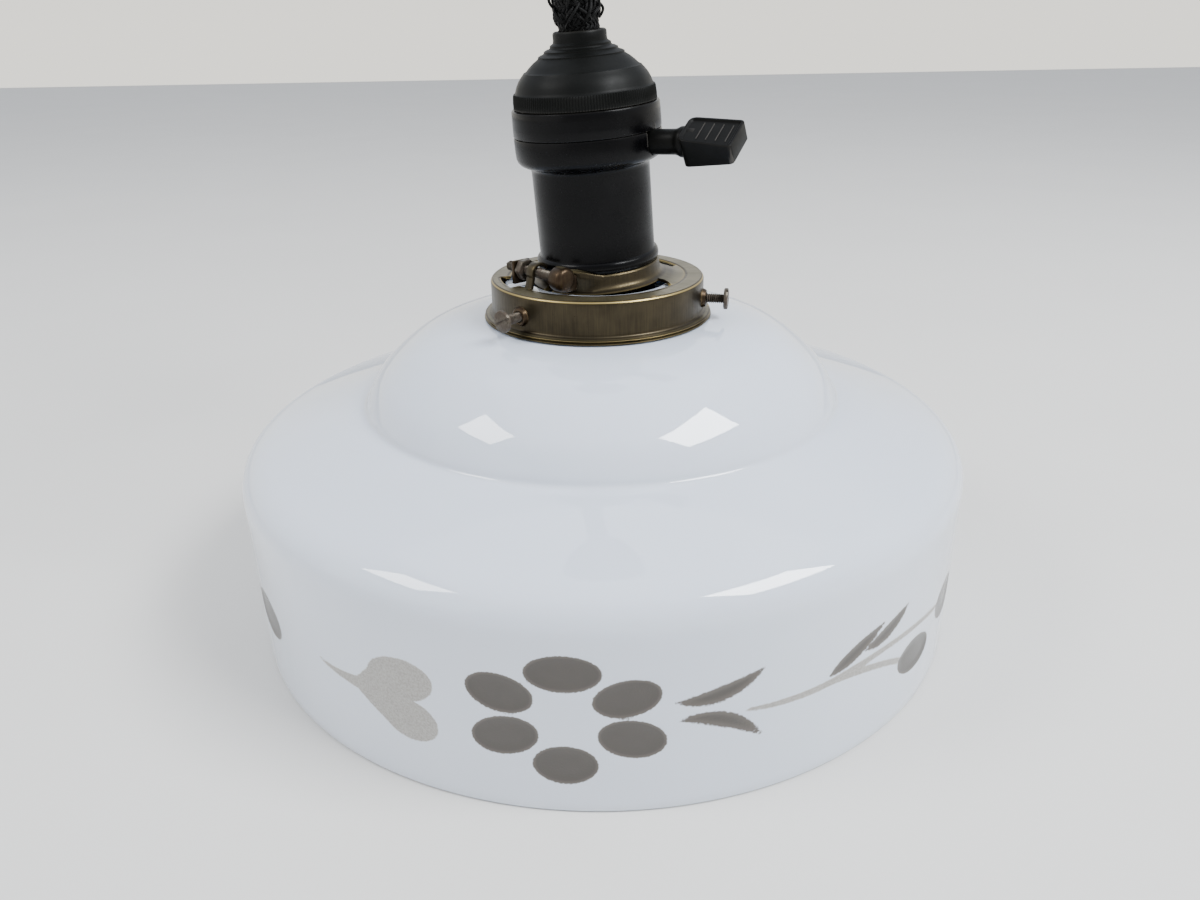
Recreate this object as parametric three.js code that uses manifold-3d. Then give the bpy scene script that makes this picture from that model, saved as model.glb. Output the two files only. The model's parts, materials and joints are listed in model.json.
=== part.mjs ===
// Pendant ceiling light: an opal glass shade in a brass fitter, hung from a black moulded key
// socket, a braided cord and a ceiling rose. Millimetres, +Z up, the front of the light faces -Y.
// Heights inside the light are measured up from the ground rim of the shade. The last step lowers
// everything so that the ceiling face of the rose lies at z = 0.

import * as THREE from 'three';
import { mergeVertices } from 'three/addons/utils/BufferGeometryUtils.js';
import Module from 'manifold-3d';

const wasm = await Module();
wasm.setup();

// ---------------------------------------------------------------- driving dimensions

const FIT = 0.3; // clearance between pieces that touch on the real light
const TURN = 2 * Math.PI;

const shade = {
  bandRadius: 110.7,
  bandDraft: 0.4, // how much narrower the band is at the rim
  bandHeight: 50.5,
  cornerHeight: 58.05, // where the band and the sloping top would meet if the shoulder were sharp
  shoulderRun: 9.7, // how far in the rounded shoulder reaches
  slope: 0.303, // rise of the top beside the shoulder, for each millimetre inwards
  domeRadius: 72.4, // foot of the raised dome
  domeFoot: 69.2,
  domeHeight: 23.7, // from the foot of the dome to the foot of the neck
  neckRadius: 26.6,
  neckHeight: 101.2, // underside of the lip that the neck screws catch
  lipOut: 1.9, // how far the lip stands out from the neck
  lipHeight: 2.4,
  wall: 3,
};

const holder = {
  shift: -0.6, // the screws hold the drum a little off the glass's centre
  seat: 0.2,
  sheet: 0.9,
  play: 2.6, // room between the shade's lip and the drum, which the screws take up
  drumDepth: 9.6,
  lipFlare: 2.3,
  ledge: 6, // width of the flat ring outside the slots
  slotRoom: 4.8, // from the clamp screw's axis out to the ring
  bridgeFrom: -29, // the one bridge that joins the collar to the ring, degrees
  bridgeTo: 14,
  collarSheet: 1.2,
  collarHeight: 4.3,
};

const screw = { radius: 1.45, headRadius: 3.15, headHeight: 1.2, slot: 0.7, slotDepth: 0.5 };
const neckScrew = {
  count: 3,
  phase: -13, // degrees
  drop: 2.3, // below the underside of the lip
  reach: 6.4, // from the drum's wall to the head
};

const clamp = {
  azimuth: -139, // direction of the collar's split, degrees
  out: 4.6, // of the screw's axis from the socket's neck
  height: 3.6, // of the screw's axis above the holder's top
  lugAt: 9.2,
  lugRadius: 3.5,
  lugLength: 5,
  tabAt: -1.8,
  tabWidth: 3,
  nutAt: -7.7,
  nutFlats: 5.5,
  nutHeight: 2.4,
  earAt: -9.8,
  earSheet: 1.2,
  tipAt: -15.8,
};

const bulbThread = { radius: 13.6, depth: 0.35, pitch: 3.63, top: 20, turns: 7, sheet: 0.5 };

// The socket's own heights are measured up from the holder's top, along the socket's axis.
const socket = {
  leanX: -3.76, // degrees: the worn collar lets the socket lean
  leanY: 1.82,
  offset: 0.1,
  wall: 1.6, // of the neck
  neckBottom: -10,
  beadFrom: 4.6,
  beadTo: 7.5,
  beadOut: 1.5,
  skirtOut: 0.4,
  skirtHeight: 33.2, // foot of the wide band
  bandOut: 4,
  bandWall: 2.1,
  lowerBand: 8.4, // height of the band below the seam between the shells
  upperBand: 7,
  bandDraft: 0.2, // how much narrower the band is at its top
  capStep: 0.6,
  knurlIn: 1.05, // how far the knurled ring stands in from the band
  knurlHeight: 3.6,
  ridgeIn: 4.35, // a faint ridge half way up the cap, in from the knurled ring
  ridgeHeight: 4.7,
  crownHeight: 7.1, // from the ridge to the foot of the cord's collar
  collarHeight: 3.1,
  collarWall: 1.1,
  capWall: 2.2,
};

const key = {
  azimuth: -30,
  drop: 3.2, // of the stem's axis below the seam
  turn: 25, // degrees that the paddle is turned about its stem at rest
  stemRadius: 3.4,
  stemFrom: 12.4,
  paddleOut: 9.6, // inner end of the paddle, out from the band
  paddleLength: 15.2,
  widthIn: 11,
  widthOut: 12,
  thickIn: 8.6,
  thickOut: 5.2,
  shaftRadius: 2,
  shaftFrom: -9,
  shaftTo: 21,
  flangeRadius: 4.4,
  camRadius: 4.8,
};

const cord = { radius: 5.8, play: 0.5, inside: 7.6, sides: 8, steps: 40, free: 100 };
const wire = { radius: 0.9 };
const rose = {
  radius: 30,
  height: 28,
  wall: 2.4,
  baseHeight: 9,
  flange: 3, // the base's wide foot, which the cap closes on
  corner: 12, // radius of the cap's rounding
  holeSpacing: 36,
  holeRadius: 2.2,
  terminalAt: 13,
};

// ---------------------------------------------------------------- worked-out sizes

const rimRadius = shade.bandRadius - shade.bandDraft;
const lipRadius = shade.neckRadius + shade.lipOut;
const lipTop = shade.neckHeight + shade.lipHeight;
const holderTop = lipTop + FIT + holder.seat + holder.sheet;
const neckScrewHeight = shade.neckHeight - neckScrew.drop;

const bore = bulbThread.radius + bulbThread.depth + bulbThread.sheet / 2 + 0.8;
const neckRadius = bore + socket.wall;
const beadRadius = neckRadius + socket.beadOut;
const skirtRadius = neckRadius + socket.skirtOut;
const bandRadius = skirtRadius + socket.bandOut;
const bodyTopRadius = bandRadius - socket.bandDraft;
const knurlRadius = bandRadius - socket.knurlIn;
const ridgeRadius = knurlRadius - socket.ridgeIn;
const collarRadius = cord.radius + cord.play + socket.collarWall;
const clampRadius = neckRadius + clamp.out;

// The drum goes round the shade's lip, and its ring leaves room for the clamp screw.
const drumRadius = Math.max(
  lipRadius + holder.play + holder.sheet,
  clampRadius + holder.slotRoom + holder.ledge,
);
const slotRadius = drumRadius - holder.ledge;

const bandFrom = socket.skirtHeight;
const seam = bandFrom + socket.lowerBand;
const bodyTo = seam + socket.upperBand;
const knurlFrom = bodyTo + socket.capStep;
const knurlTo = knurlFrom + socket.knurlHeight;
const ridgeAt = knurlTo + socket.ridgeHeight;
const collarFrom = ridgeAt + socket.crownHeight;
const collarTo = collarFrom + socket.collarHeight;

const keyHeight = seam - key.drop;
const paddleFrom = bandRadius + key.paddleOut;
const paddleTo = paddleFrom + key.paddleLength;

const socketAxis = new THREE.Euler(
  THREE.MathUtils.degToRad(socket.leanY),
  THREE.MathUtils.degToRad(socket.leanX),
  0,
);

// A point on the socket's axis, at a height above the holder's top.
const onSocketAxis = (height) =>
  new THREE.Vector3(0, 0, height)
    .applyEuler(socketAxis)
    .add(new THREE.Vector3(socket.offset, 0, holderTop));

const cordExit = onSocketAxis(collarTo);
const roseBottom = cordExit.z + cord.free;
const ceiling = roseBottom + rose.height;

// ---------------------------------------------------------------- materials

const finish = (color, roughness, metalness) =>
  new THREE.MeshStandardMaterial({ color, roughness, metalness });
const opalGlass = () => finish(0xf1f1f6, 0.08, 0);
const agedBrass = () => finish(0x6b6147, 0.45, 1);
const darkSteel = () => finish(0x4a443c, 0.5, 1);
const brightBrass = () => finish(0xb08d4a, 0.35, 1);
const bakelite = () => finish(0x151618, 0.35, 0);
const porcelain = () => finish(0xded9cd, 0.3, 0);
const springSteel = () => finish(0x8d8f92, 0.3, 1);
const blackCotton = () => finish(0x121212, 0.95, 0);
const rubberWire = () => finish(0x2a2421, 0.6, 0);

// ---------------------------------------------------------------- small tools

const radians = THREE.MathUtils.degToRad;

// Makes a geometry one closed body: shared points merged, empty triangles dropped, faces outward.
function closed(geometry) {
  geometry.deleteAttribute('normal');
  geometry.deleteAttribute('uv');
  const merged = mergeVertices(geometry, 1e-4);
  const index = merged.index.array;
  const place = merged.attributes.position;
  const kept = [];
  const [a, b, c] = [new THREE.Vector3(), new THREE.Vector3(), new THREE.Vector3()];
  let volume = 0;
  for (let i = 0; i < index.length; i += 3) {
    const [p, q, r] = [index[i], index[i + 1], index[i + 2]];
    if (p === q || q === r || r === p) continue;
    kept.push(p, q, r);
    a.fromBufferAttribute(place, p);
    b.fromBufferAttribute(place, q);
    c.fromBufferAttribute(place, r);
    volume += a.dot(b.cross(c));
  }
  merged.setIndex(volume > 0 ? kept : kept.reverse());
  return merged;
}

// A turned shape: outline points are [radius, height], and the axis is Z.
function turned(outline, segments = 40, loop = false) {
  const points = outline.map(([r, z]) => new THREE.Vector2(r, z));
  if (loop) points.push(points[0].clone());
  return closed(new THREE.LatheGeometry(points, segments).rotateX(Math.PI / 2));
}

const rod = (radius, low, high, segments = 16) =>
  turned([[0, low], [radius, low], [radius, high], [0, high]], segments);

const block = (x, y, z, cx = 0, cy = 0, cz = 0) =>
  closed(new THREE.BoxGeometry(x, y, z).translate(cx, cy, cz));

function plate(shape, low, high, curveSegments = 12) {
  const options = { depth: high - low, bevelEnabled: false, curveSegments };
  return closed(new THREE.ExtrudeGeometry(shape, options).translate(0, 0, low));
}

// A flat sector of a ring between two directions, in degrees.
function sector(inner, outer, from, to) {
  const shape = new THREE.Shape();
  shape.absarc(0, 0, outer, radians(from), radians(to), false);
  shape.absarc(0, 0, inner, radians(to), radians(from), true);
  shape.closePath();
  return shape;
}

function tube(points, radius, sides, steps) {
  const section = new THREE.Shape();
  section.absarc(0, 0, radius, 0, TURN, false);
  const extrudePath = new THREE.CatmullRomCurve3(points);
  const options = { extrudePath, steps, curveSegments: sides / 2, bevelEnabled: false };
  return closed(new THREE.ExtrudeGeometry(section, options));
}

// Points on an arc: centre, radius, first and last angle in degrees, and how many steps.
function arc(cx, cz, radius, from, to, steps) {
  const points = [];
  for (let i = 0; i <= steps; i += 1) {
    const angle = radians(from + ((to - from) * i) / steps);
    points.push([cx + radius * Math.cos(angle), cz + radius * Math.sin(angle)]);
  }
  return points;
}

function solid(geometry) {
  const vertProperties = new Float32Array(geometry.attributes.position.array);
  const triVerts = new Uint32Array(geometry.index.array);
  return new wasm.Manifold(new wasm.Mesh({ numProp: 3, vertProperties, triVerts }));
}

function geometryOf(body) {
  const mesh = body.getMesh();
  const geometry = new THREE.BufferGeometry();
  geometry.setAttribute('position', new THREE.BufferAttribute(mesh.vertProperties, 3));
  geometry.setIndex(new THREE.BufferAttribute(mesh.triVerts, 1));
  return geometry;
}

const joined = (...geometries) =>
  geometryOf(geometries.map(solid).reduce((sum, next) => sum.add(next)));

const cut = (geometry, ...tools) =>
  geometryOf(tools.map(solid).reduce((rest, tool) => rest.subtract(tool), solid(geometry)));

const model = new THREE.Group();
const light = new THREE.Group();
light.position.z = -ceiling;
model.add(light);

function add(group, name, geometry, material) {
  const mesh = new THREE.Mesh(geometry, material);
  mesh.name = name;
  group.add(mesh);
  return mesh;
}

// ---------------------------------------------------------------- glass shade

function shadeOutline() {
  const s = shade;
  const band = [[rimRadius - 0.5, 0], [rimRadius, 0.6], [s.bandRadius, s.bandHeight]];
  const shoulder = new THREE.QuadraticBezierCurve(
    new THREE.Vector2(s.bandRadius, s.bandHeight),
    new THREE.Vector2(s.bandRadius, s.cornerHeight),
    new THREE.Vector2(s.bandRadius - s.shoulderRun, s.cornerHeight + s.slope * s.shoulderRun),
  );
  const foot = new THREE.Vector2(s.domeRadius, s.domeFoot);
  const crown = s.domeFoot + s.domeHeight;
  const span = s.domeRadius - s.neckRadius;
  const dome = new THREE.SplineCurve([
    foot,
    new THREE.Vector2(s.neckRadius + 0.9 * span, s.domeFoot + 0.36 * s.domeHeight),
    new THREE.Vector2(s.neckRadius + 0.58 * span, s.domeFoot + 0.84 * s.domeHeight),
    new THREE.Vector2(s.neckRadius + 0.16 * span, crown),
    new THREE.Vector2(s.neckRadius, crown + 3),
  ]);
  const outline = [...band];
  outline.push(...shoulder.getPoints(4).slice(1).map((p) => [p.x, p.y]));
  outline.push([s.domeRadius + 1.4, s.domeFoot - 0.7]);
  outline.push(...dome.getPoints(7).map((p) => [p.x, p.y]));
  return outline;
}

// The same line moved inwards by the wall, point by point along the outline's normal.
function inset(outline, wall) {
  return outline.map(([r, z], i) => {
    const before = outline[Math.max(i - 1, 0)];
    const after = outline[Math.min(i + 1, outline.length - 1)];
    const along = new THREE.Vector2(after[0] - before[0], after[1] - before[1]).normalize();
    return [r - wall * along.y, z + wall * along.x];
  });
}

function makeShade() {
  const s = shade;
  const outside = shadeOutline();
  const inside = inset(outside.slice(2), s.wall);
  const rim = [[rimRadius - s.wall, 0.6], [rimRadius - s.wall + 0.5, 0]];
  const neckBore = s.neckRadius - s.wall;
  const lip = [
    [s.neckRadius, s.neckHeight],
    [lipRadius, s.neckHeight + 0.8],
    [lipRadius, lipTop - 0.8],
    [lipRadius - 0.8, lipTop],
    [neckBore + 0.8, lipTop],
    [neckBore, lipTop - 0.8],
  ];
  const outline = [...outside, ...lip, ...inside.reverse(), ...rim];
  add(light, 'glass_shade', turned(outline, 44, true), opalGlass());
}

// ---------------------------------------------------------------- brass shade holder

const socketGroup = new THREE.Group();
socketGroup.position.set(socket.offset, 0, holderTop);
socketGroup.rotation.copy(socketAxis);
light.add(socketGroup);
socketGroup.updateMatrix();

const clampHeight = holderTop + clamp.height;
const clampFrame = new THREE.Matrix4()
  .makeTranslation(holder.shift, 0, 0)
  .multiply(new THREE.Matrix4().makeRotationZ(radians(clamp.azimuth)));

// A rod whose axis lies along the clamp screw, between two places on it.
const alongClamp = (radius, from, to, segments) =>
  rod(radius, from, to, segments)
    .rotateX(-Math.PI / 2)
    .translate(clampRadius, 0, clampHeight)
    .applyMatrix4(clampFrame);

function neckScrewDirections() {
  const directions = [];
  for (let i = 0; i < neckScrew.count; i += 1) {
    directions.push(radians(neckScrew.phase - (360 / neckScrew.count) * i));
  }
  return directions;
}

function makeDrum() {
  const wallIn = drumRadius - holder.sheet;
  const bottom = holderTop - holder.drumDepth;
  const flare = drumRadius + holder.lipFlare;
  const edge = 0.8;
  const outline = [
    [slotRadius, holderTop - holder.sheet],
    [slotRadius, holderTop],
    ...arc(drumRadius - edge, holderTop - edge, edge, 90, 0, 3),
    [drumRadius, bottom + 1.2],
    [drumRadius + 0.5, bottom + 0.2],
    [flare - 0.6, bottom - 0.3],
    [flare, bottom - 0.8],
    [flare - 0.5, bottom - 1.3],
    [flare - 1.4, bottom - 1.2],
    [wallIn, bottom + 0.3],
    [wallIn, holderTop - holder.sheet],
  ];
  return turned(outline, 40, true).translate(holder.shift, 0, 0);
}

// The split collar that grips the socket, with its foot flared out to the level of the ring.
function makeCollar() {
  const inner = neckRadius + FIT;
  const outer = inner + holder.collarSheet;
  const foot = outer + 1.9;
  const outline = [
    [inner, -4],
    [foot, -4],
    [foot, -0.3],
    [outer + 0.8, 0.5],
    [outer, 1.8],
    [outer, holder.collarHeight],
    [inner, holder.collarHeight],
  ];
  return turned(outline, 32, true).applyMatrix4(socketGroup.matrix);
}

function makeHolder() {
  const under = holderTop - holder.sheet;
  const collar = makeCollar();
  const wide = 4 * neckRadius;
  const level = block(wide, wide, 20, 0, 0, under + 10);
  const trimmed = geometryOf(solid(collar).intersect(solid(level)));
  const bridge = plate(
    sector(neckRadius + 2, slotRadius + 0.4, holder.bridgeFrom, holder.bridgeTo),
    under,
    holderTop,
  ).translate(holder.shift, 0, 0);
  const lugHalf = clamp.lugLength / 2;
  const lug = alongClamp(clamp.lugRadius, clamp.lugAt - lugHalf, clamp.lugAt + lugHalf, 20);
  const reach = clampRadius - neckRadius;
  const webX = neckRadius + reach / 2 - 1;
  const web = block(reach + 1, 4, 3.4, webX, clamp.lugAt, holderTop + 1.9).applyMatrix4(clampFrame);
  const earHeight = clamp.height + 3.2;
  const ear = block(
    reach + 5,
    clamp.earSheet,
    earHeight,
    clampRadius - reach / 2 + 0.4,
    clamp.earAt,
    holderTop + earHeight / 2 - 0.6,
  ).applyMatrix4(clampFrame);
  const hook = makeHook();
  const split = block(8, 3, 14, neckRadius + 1.5, 0, holderTop).applyMatrix4(clampFrame);
  const screwWay = alongClamp(screw.radius + FIT, -40, 40, 16);
  const tight = neckRadius + FIT;
  const overBead = beadRadius + FIT;
  const step = socket.beadFrom - FIT;
  const socketWay = turned(
    [[0, -20], [tight, -20], [tight, step], [overBead, step], [overBead, 12], [0, 12]],
    32,
  ).applyMatrix4(socketGroup.matrix);
  const holes = neckScrewDirections().map((direction) =>
    rod(screw.radius + FIT, drumRadius - 4, drumRadius + 6, 14)
      .rotateY(Math.PI / 2)
      .rotateZ(direction)
      .translate(holder.shift, 0, neckScrewHeight));
  const whole = joined(makeDrum(), trimmed, bridge, lug, web, ear, hook);
  add(light, 'shade_holder', cut(whole, split, screwWay, socketWay, ...holes), agedBrass());
}

// The tongue of the ring that is bent up over the clamp screw.
function makeHook() {
  const bend = screw.radius + FIT + 0.5 + holder.sheet / 2;
  const path = [
    [slotRadius + 1.5, holderTop - holder.sheet / 2],
    [clampRadius + bend + 0.6, holderTop - holder.sheet / 2 + 0.1],
    ...arc(clampRadius, clampHeight, bend, -20, 150, 6),
  ];
  const half = holder.sheet / 2;
  const over = inset(path, half);
  const under = inset(path, -half).reverse();
  const shape = new THREE.Shape([...over, ...under].map(([x, z]) => new THREE.Vector2(x, z)));
  return plate(shape, -clamp.tabWidth / 2, clamp.tabWidth / 2)
    .rotateX(Math.PI / 2)
    .translate(0, clamp.tabAt, 0)
    .applyMatrix4(clampFrame);
}

// ---------------------------------------------------------------- screws

// A slotted machine screw whose head's top is at 0 and whose shank runs down to -length.
function slottedScrew(length, headRadius = screw.headRadius, headHeight = screw.headHeight) {
  const head = turned([
    [0, -length],
    [screw.radius - 0.4, -length],
    [screw.radius, -length + 0.5],
    [screw.radius, -headHeight],
    [headRadius, -headHeight],
    [headRadius, -0.3],
    [headRadius - 0.4, 0],
    [0, 0],
  ], 12);
  return cut(head, block(2 * headRadius + 2, screw.slot, 2 * screw.slotDepth));
}

// Each screw starts at the glass neck, and the drum sits a little to one side of it.
function makeNeckScrews() {
  const headAt = drumRadius + neckScrew.reach + screw.headHeight;
  const neck = shade.neckRadius + FIT;
  neckScrewDirections().forEach((direction, i) => {
    const side = holder.shift * Math.cos(direction);
    const tipAt = -side + Math.sqrt(side ** 2 - holder.shift ** 2 + neck ** 2);
    const name = `neck_screw_${i + 1}`;
    const mesh = add(light, name, slottedScrew(headAt - tipAt), darkSteel());
    mesh.position.set(
      holder.shift + headAt * Math.cos(direction),
      headAt * Math.sin(direction),
      neckScrewHeight,
    );
    mesh.rotation.set(0, Math.PI / 2, direction, 'ZYX');
  });
}

function makeClampScrew() {
  const length = clamp.lugAt + clamp.lugLength / 2 - clamp.tipAt;
  const shank = rod(screw.radius, 0, length, 18);
  const slotted = cut(shank, block(2 * screw.radius + 1, screw.slot, 2));
  const start = slotted.rotateX(-Math.PI / 2).translate(clampRadius, clamp.tipAt, clampHeight);
  add(light, 'clamp_screw', start.applyMatrix4(clampFrame), darkSteel());
  const across = clamp.nutFlats / 2 / Math.cos(Math.PI / 6);
  const nut = cut(rod(across, 0, clamp.nutHeight, 6), rod(screw.radius + FIT, -1, 9, 16));
  const placed = nut
    .rotateX(-Math.PI / 2)
    .translate(clampRadius, clamp.nutAt - clamp.nutHeight / 2, clampHeight)
    .applyMatrix4(clampFrame);
  add(light, 'clamp_nut', placed, darkSteel());
}

// ---------------------------------------------------------------- socket shells

function makeSkirt() {
  const s = socket;
  const bandIn = bandRadius - s.bandWall;
  const outline = [
    [bore, s.neckBottom],
    [neckRadius - 0.5, s.neckBottom],
    [neckRadius, s.neckBottom + 0.5],
    [neckRadius, s.beadFrom - 0.3],
    [beadRadius - 0.2, s.beadFrom],
    [beadRadius, (s.beadFrom + s.beadTo) / 2],
    [beadRadius - 0.5, s.beadTo],
    [skirtRadius, s.beadTo + 0.4],
    [skirtRadius, bandFrom - 0.4],
    [skirtRadius + 0.5, bandFrom],
    ...arc(bandRadius - 2.6, bandFrom + 2.6, 2.6, -75, 0, 3),
    [bandRadius, seam - FIT],
    [bandIn, seam - FIT],
    [bandIn, bandFrom + 2.4],
    [bore, bandFrom],
  ];
  add(socketGroup, 'socket_skirt', cut(turned(outline, 32, true), keyNotch()), bakelite());
}

// The way for the key's stem: a round hole, open upwards as far as the seam between the shells.
function keyNotch() {
  const radius = key.stemRadius + FIT + 0.05;
  const height = seam - keyHeight;
  const notch = joined(
    rod(radius, key.stemFrom, bandRadius + 4, 20).rotateY(Math.PI / 2),
    block(12, 2 * radius, height, bandRadius, 0, height / 2),
  );
  return notch.rotateZ(radians(key.azimuth)).translate(0, 0, keyHeight);
}

function makeBody() {
  const s = socket;
  const bandIn = bandRadius - s.bandWall - 0.5;
  const outline = [
    [bandIn - 2.4, seam + 0.3],
    [bandRadius, seam],
    [bodyTopRadius, bodyTo],
    [bandIn, bodyTo],
    [bandIn, seam + 1.1],
    [bandIn - 2.4, seam + 1.1],
  ];
  add(socketGroup, 'socket_body', cut(turned(outline, 32, true), keyNotch()), bakelite());
}

function makeCap() {
  const s = socket;
  const way = cord.radius + cord.play;
  const onCrown = (out, up) => [
    THREE.MathUtils.lerp(collarRadius, ridgeRadius, out),
    THREE.MathUtils.lerp(ridgeAt, collarFrom, up),
  ];
  const outline = [
    [knurlRadius - s.capWall, bodyTo + FIT],
    [bodyTopRadius - 0.7, bodyTo + FIT],
    [knurlRadius + 0.15, knurlFrom],
    [knurlRadius - 0.15, knurlTo],
    [knurlRadius - 1.1, knurlTo + 1],
    [ridgeRadius + 1.2, ridgeAt - 1.6],
    [ridgeRadius, ridgeAt],
    onCrown(0.7, 0.39),
    onCrown(0.39, 0.69),
    onCrown(0.17, 0.89),
    [collarRadius + 0.2, collarFrom],
    [collarRadius, collarTo - 0.3],
    [collarRadius - 0.4, collarTo],
    [way, collarTo],
    [way, collarFrom - 2.6],
    onCrown(0.37, 0.17),
    [ridgeRadius - s.capWall, ridgeAt - s.capWall + 0.4],
    [knurlRadius - s.capWall - 1, knurlTo],
  ];
  add(socketGroup, 'socket_cap', turned(outline, 32, true), bakelite());
}

// ---------------------------------------------------------------- switch key and its shaft

const keyGroup = new THREE.Group();
keyGroup.position.z = keyHeight;
keyGroup.rotation.set(radians(key.turn), 0, radians(key.azimuth), 'ZYX');
socketGroup.add(keyGroup);

// Turns a rod about Z into one along the key's own axis, which is X in its group.
const alongKey = (geometry) => geometry.rotateY(Math.PI / 2);

function makePaddle() {
  const k = key;
  const corner = 2.2;
  const shape = new THREE.Shape();
  shape.moveTo(paddleFrom, -k.widthIn / 2 + corner);
  shape.quadraticCurveTo(paddleFrom, -k.widthIn / 2, paddleFrom + corner, -k.widthIn / 2);
  shape.lineTo(paddleTo - 0.8, -k.widthOut / 2);
  shape.lineTo(paddleTo, -k.widthOut / 2 + 0.8);
  shape.lineTo(paddleTo, k.widthOut / 2 - 0.8);
  shape.lineTo(paddleTo - 0.8, k.widthOut / 2);
  shape.lineTo(paddleFrom + corner, k.widthIn / 2);
  shape.quadraticCurveTo(paddleFrom, k.widthIn / 2, paddleFrom, k.widthIn / 2 - corner);
  shape.closePath();
  const paddle = plate(shape, -0.5, 0.5, 4);
  const place = paddle.attributes.position;
  for (let i = 0; i < place.count; i += 1) {
    const share = (place.getX(i) - paddleFrom) / (paddleTo - paddleFrom);
    place.setZ(i, place.getZ(i) * THREE.MathUtils.lerp(k.thickIn, k.thickOut, share));
  }
  return paddle;
}

function makeKey() {
  const k = key;
  const stem = alongKey(turned([
    [0, k.stemFrom],
    [k.flangeRadius, k.stemFrom],
    [k.flangeRadius, k.stemFrom + 1.5],
    [k.stemRadius, k.stemFrom + 1.5],
    [k.stemRadius, paddleFrom - 2.6],
    [k.stemRadius + 0.7, paddleFrom - 0.6],
    [k.stemRadius + 0.2, paddleFrom + 3],
    [0, paddleFrom + 3],
  ], 24));
  const shaftWay = alongKey(rod(k.shaftRadius + FIT, k.stemFrom - 1, k.shaftTo + FIT, 16));
  add(keyGroup, 'key_handle', cut(joined(stem, makePaddle()), shaftWay), bakelite());
  add(keyGroup, 'key_shaft', alongKey(rod(k.shaftRadius, k.shaftFrom, k.shaftTo, 16)), brightBrass());

  // The cam is a round block with two flats, which flicks the bridge contact over.
  const camShape = new THREE.Shape();
  camShape.absarc(0, 0, k.camRadius, radians(-60), radians(60), false);
  camShape.absarc(0, 0, k.camRadius, radians(120), radians(240), false);
  camShape.closePath();
  const bore = new THREE.Path();
  bore.absarc(0, 0, k.shaftRadius + FIT, 0, TURN, true);
  camShape.holes.push(bore);
  add(keyGroup, 'switch_cam', alongKey(plate(camShape, -5, 1.5, 10)), porcelain());

  const round = solid(rod(k.camRadius - 0.6, 1.8, 2.6, 24));
  const bar = geometryOf(round.intersect(solid(block(6.2, 2 * k.camRadius, 4, 0, 0, 2))));
  const bridge = cut(bar, rod(k.shaftRadius + FIT, 0, 4, 16));
  add(keyGroup, 'bridge_contact', alongKey(bridge), brightBrass());

  const springTurns = 4;
  const springRadius = k.shaftRadius + 1.1;
  const coil = [];
  for (let i = 0; i <= springTurns * 8; i += 1) {
    const angle = (i / 8) * TURN;
    const along = 4 + (i / (springTurns * 8)) * 8;
    coil.push(new THREE.Vector3(along, springRadius * Math.cos(angle), springRadius * Math.sin(angle)));
  }
  add(keyGroup, 'key_spring', tube(coil, 0.35, 4, springTurns * 12), springSteel());
}

// ---------------------------------------------------------------- socket insides

const insideGroup = new THREE.Group();
insideGroup.rotation.z = radians(key.azimuth);
socketGroup.add(insideGroup);

const contact = { radius: 3.2, stem: 1.6, low: 13.4 };
const terminal = { at: 11.4, plate: 0.8, headRadius: 2.5, headHeight: 1.4 };
const post = { at: 10.4, size: 5.6 };

function makeInnerBlock() {
  const top = bodyTo - 1.1;
  const lowerTop = keyHeight - key.camRadius - 0.5;
  const upperFrom = keyHeight + key.camRadius + 0.5;
  const lower = rod(bore - 0.4, bulbThread.top + FIT + bulbThread.sheet, lowerTop, 36);
  const upper = rod(bandRadius - socket.bandWall - 0.9, upperFrom, top, 36);
  const tall = upperFrom - lowerTop + 2;
  const posts = [-1, 1].map((side) =>
    block(post.size, post.size, tall, 0, side * post.at, keyHeight));
  const wells = [-1, 1].map((side) =>
    rod(screw.radius + FIT, top - 3.4, top + 2, 14).translate(side * terminal.at, 0, 0));
  const bolts = [-1, 1].map((side) =>
    rod(screw.radius + FIT, lowerTop - 6, top + 2, 14).translate(0, side * post.at, 0));
  const contactWay = rod(contact.stem + FIT, 0, lowerTop - 2, 14);
  const whole = joined(lower, upper, ...posts);
  add(insideGroup, 'inner_block', cut(whole, ...wells, ...bolts, contactWay), porcelain());
  return { top, lowerTop, upperFrom };
}

function makeTerminals({ top, lowerTop }) {
  const plateFrom = top + FIT;
  const plateTo = plateFrom + terminal.plate;
  [-1, 1].forEach((side, i) => {
    const strip = cut(
      block(6.4, 5, terminal.plate, side * terminal.at, 0, (plateFrom + plateTo) / 2),
      rod(screw.radius + FIT, plateFrom - 1, plateTo + 1, 14).translate(side * terminal.at, 0, 0),
    );
    add(insideGroup, `terminal_plate_${i + 1}`, strip, brightBrass());
    const headTop = plateTo + FIT + terminal.headHeight;
    const fixing = slottedScrew(headTop - top + 3, terminal.headRadius, terminal.headHeight);
    const mesh = add(insideGroup, `terminal_screw_${i + 1}`, fixing, brightBrass());
    mesh.position.set(side * terminal.at, 0, headTop);

    const boltTop = top + FIT + terminal.headHeight;
    const bolt = slottedScrew(boltTop - lowerTop + 5, terminal.headRadius, terminal.headHeight);
    const boltMesh = add(insideGroup, `body_screw_${i + 1}`, bolt, darkSteel());
    boltMesh.position.set(0, side * post.at, boltTop);

    const wireHeight = plateTo + 1.3;
    const lead = tube([
      new THREE.Vector3(side * 1.3, 0, wireHeight + 3.4),
      new THREE.Vector3(side * 2.2, 0, wireHeight + 2.4),
      new THREE.Vector3(side * 4.4, 0, wireHeight + 1.1),
      new THREE.Vector3(side * (terminal.at - terminal.headRadius - 1.2), 0, wireHeight),
    ], wire.radius, 8, 10);
    add(insideGroup, `conductor_${i + 1}`, lead, rubberWire());
  });
}

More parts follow.
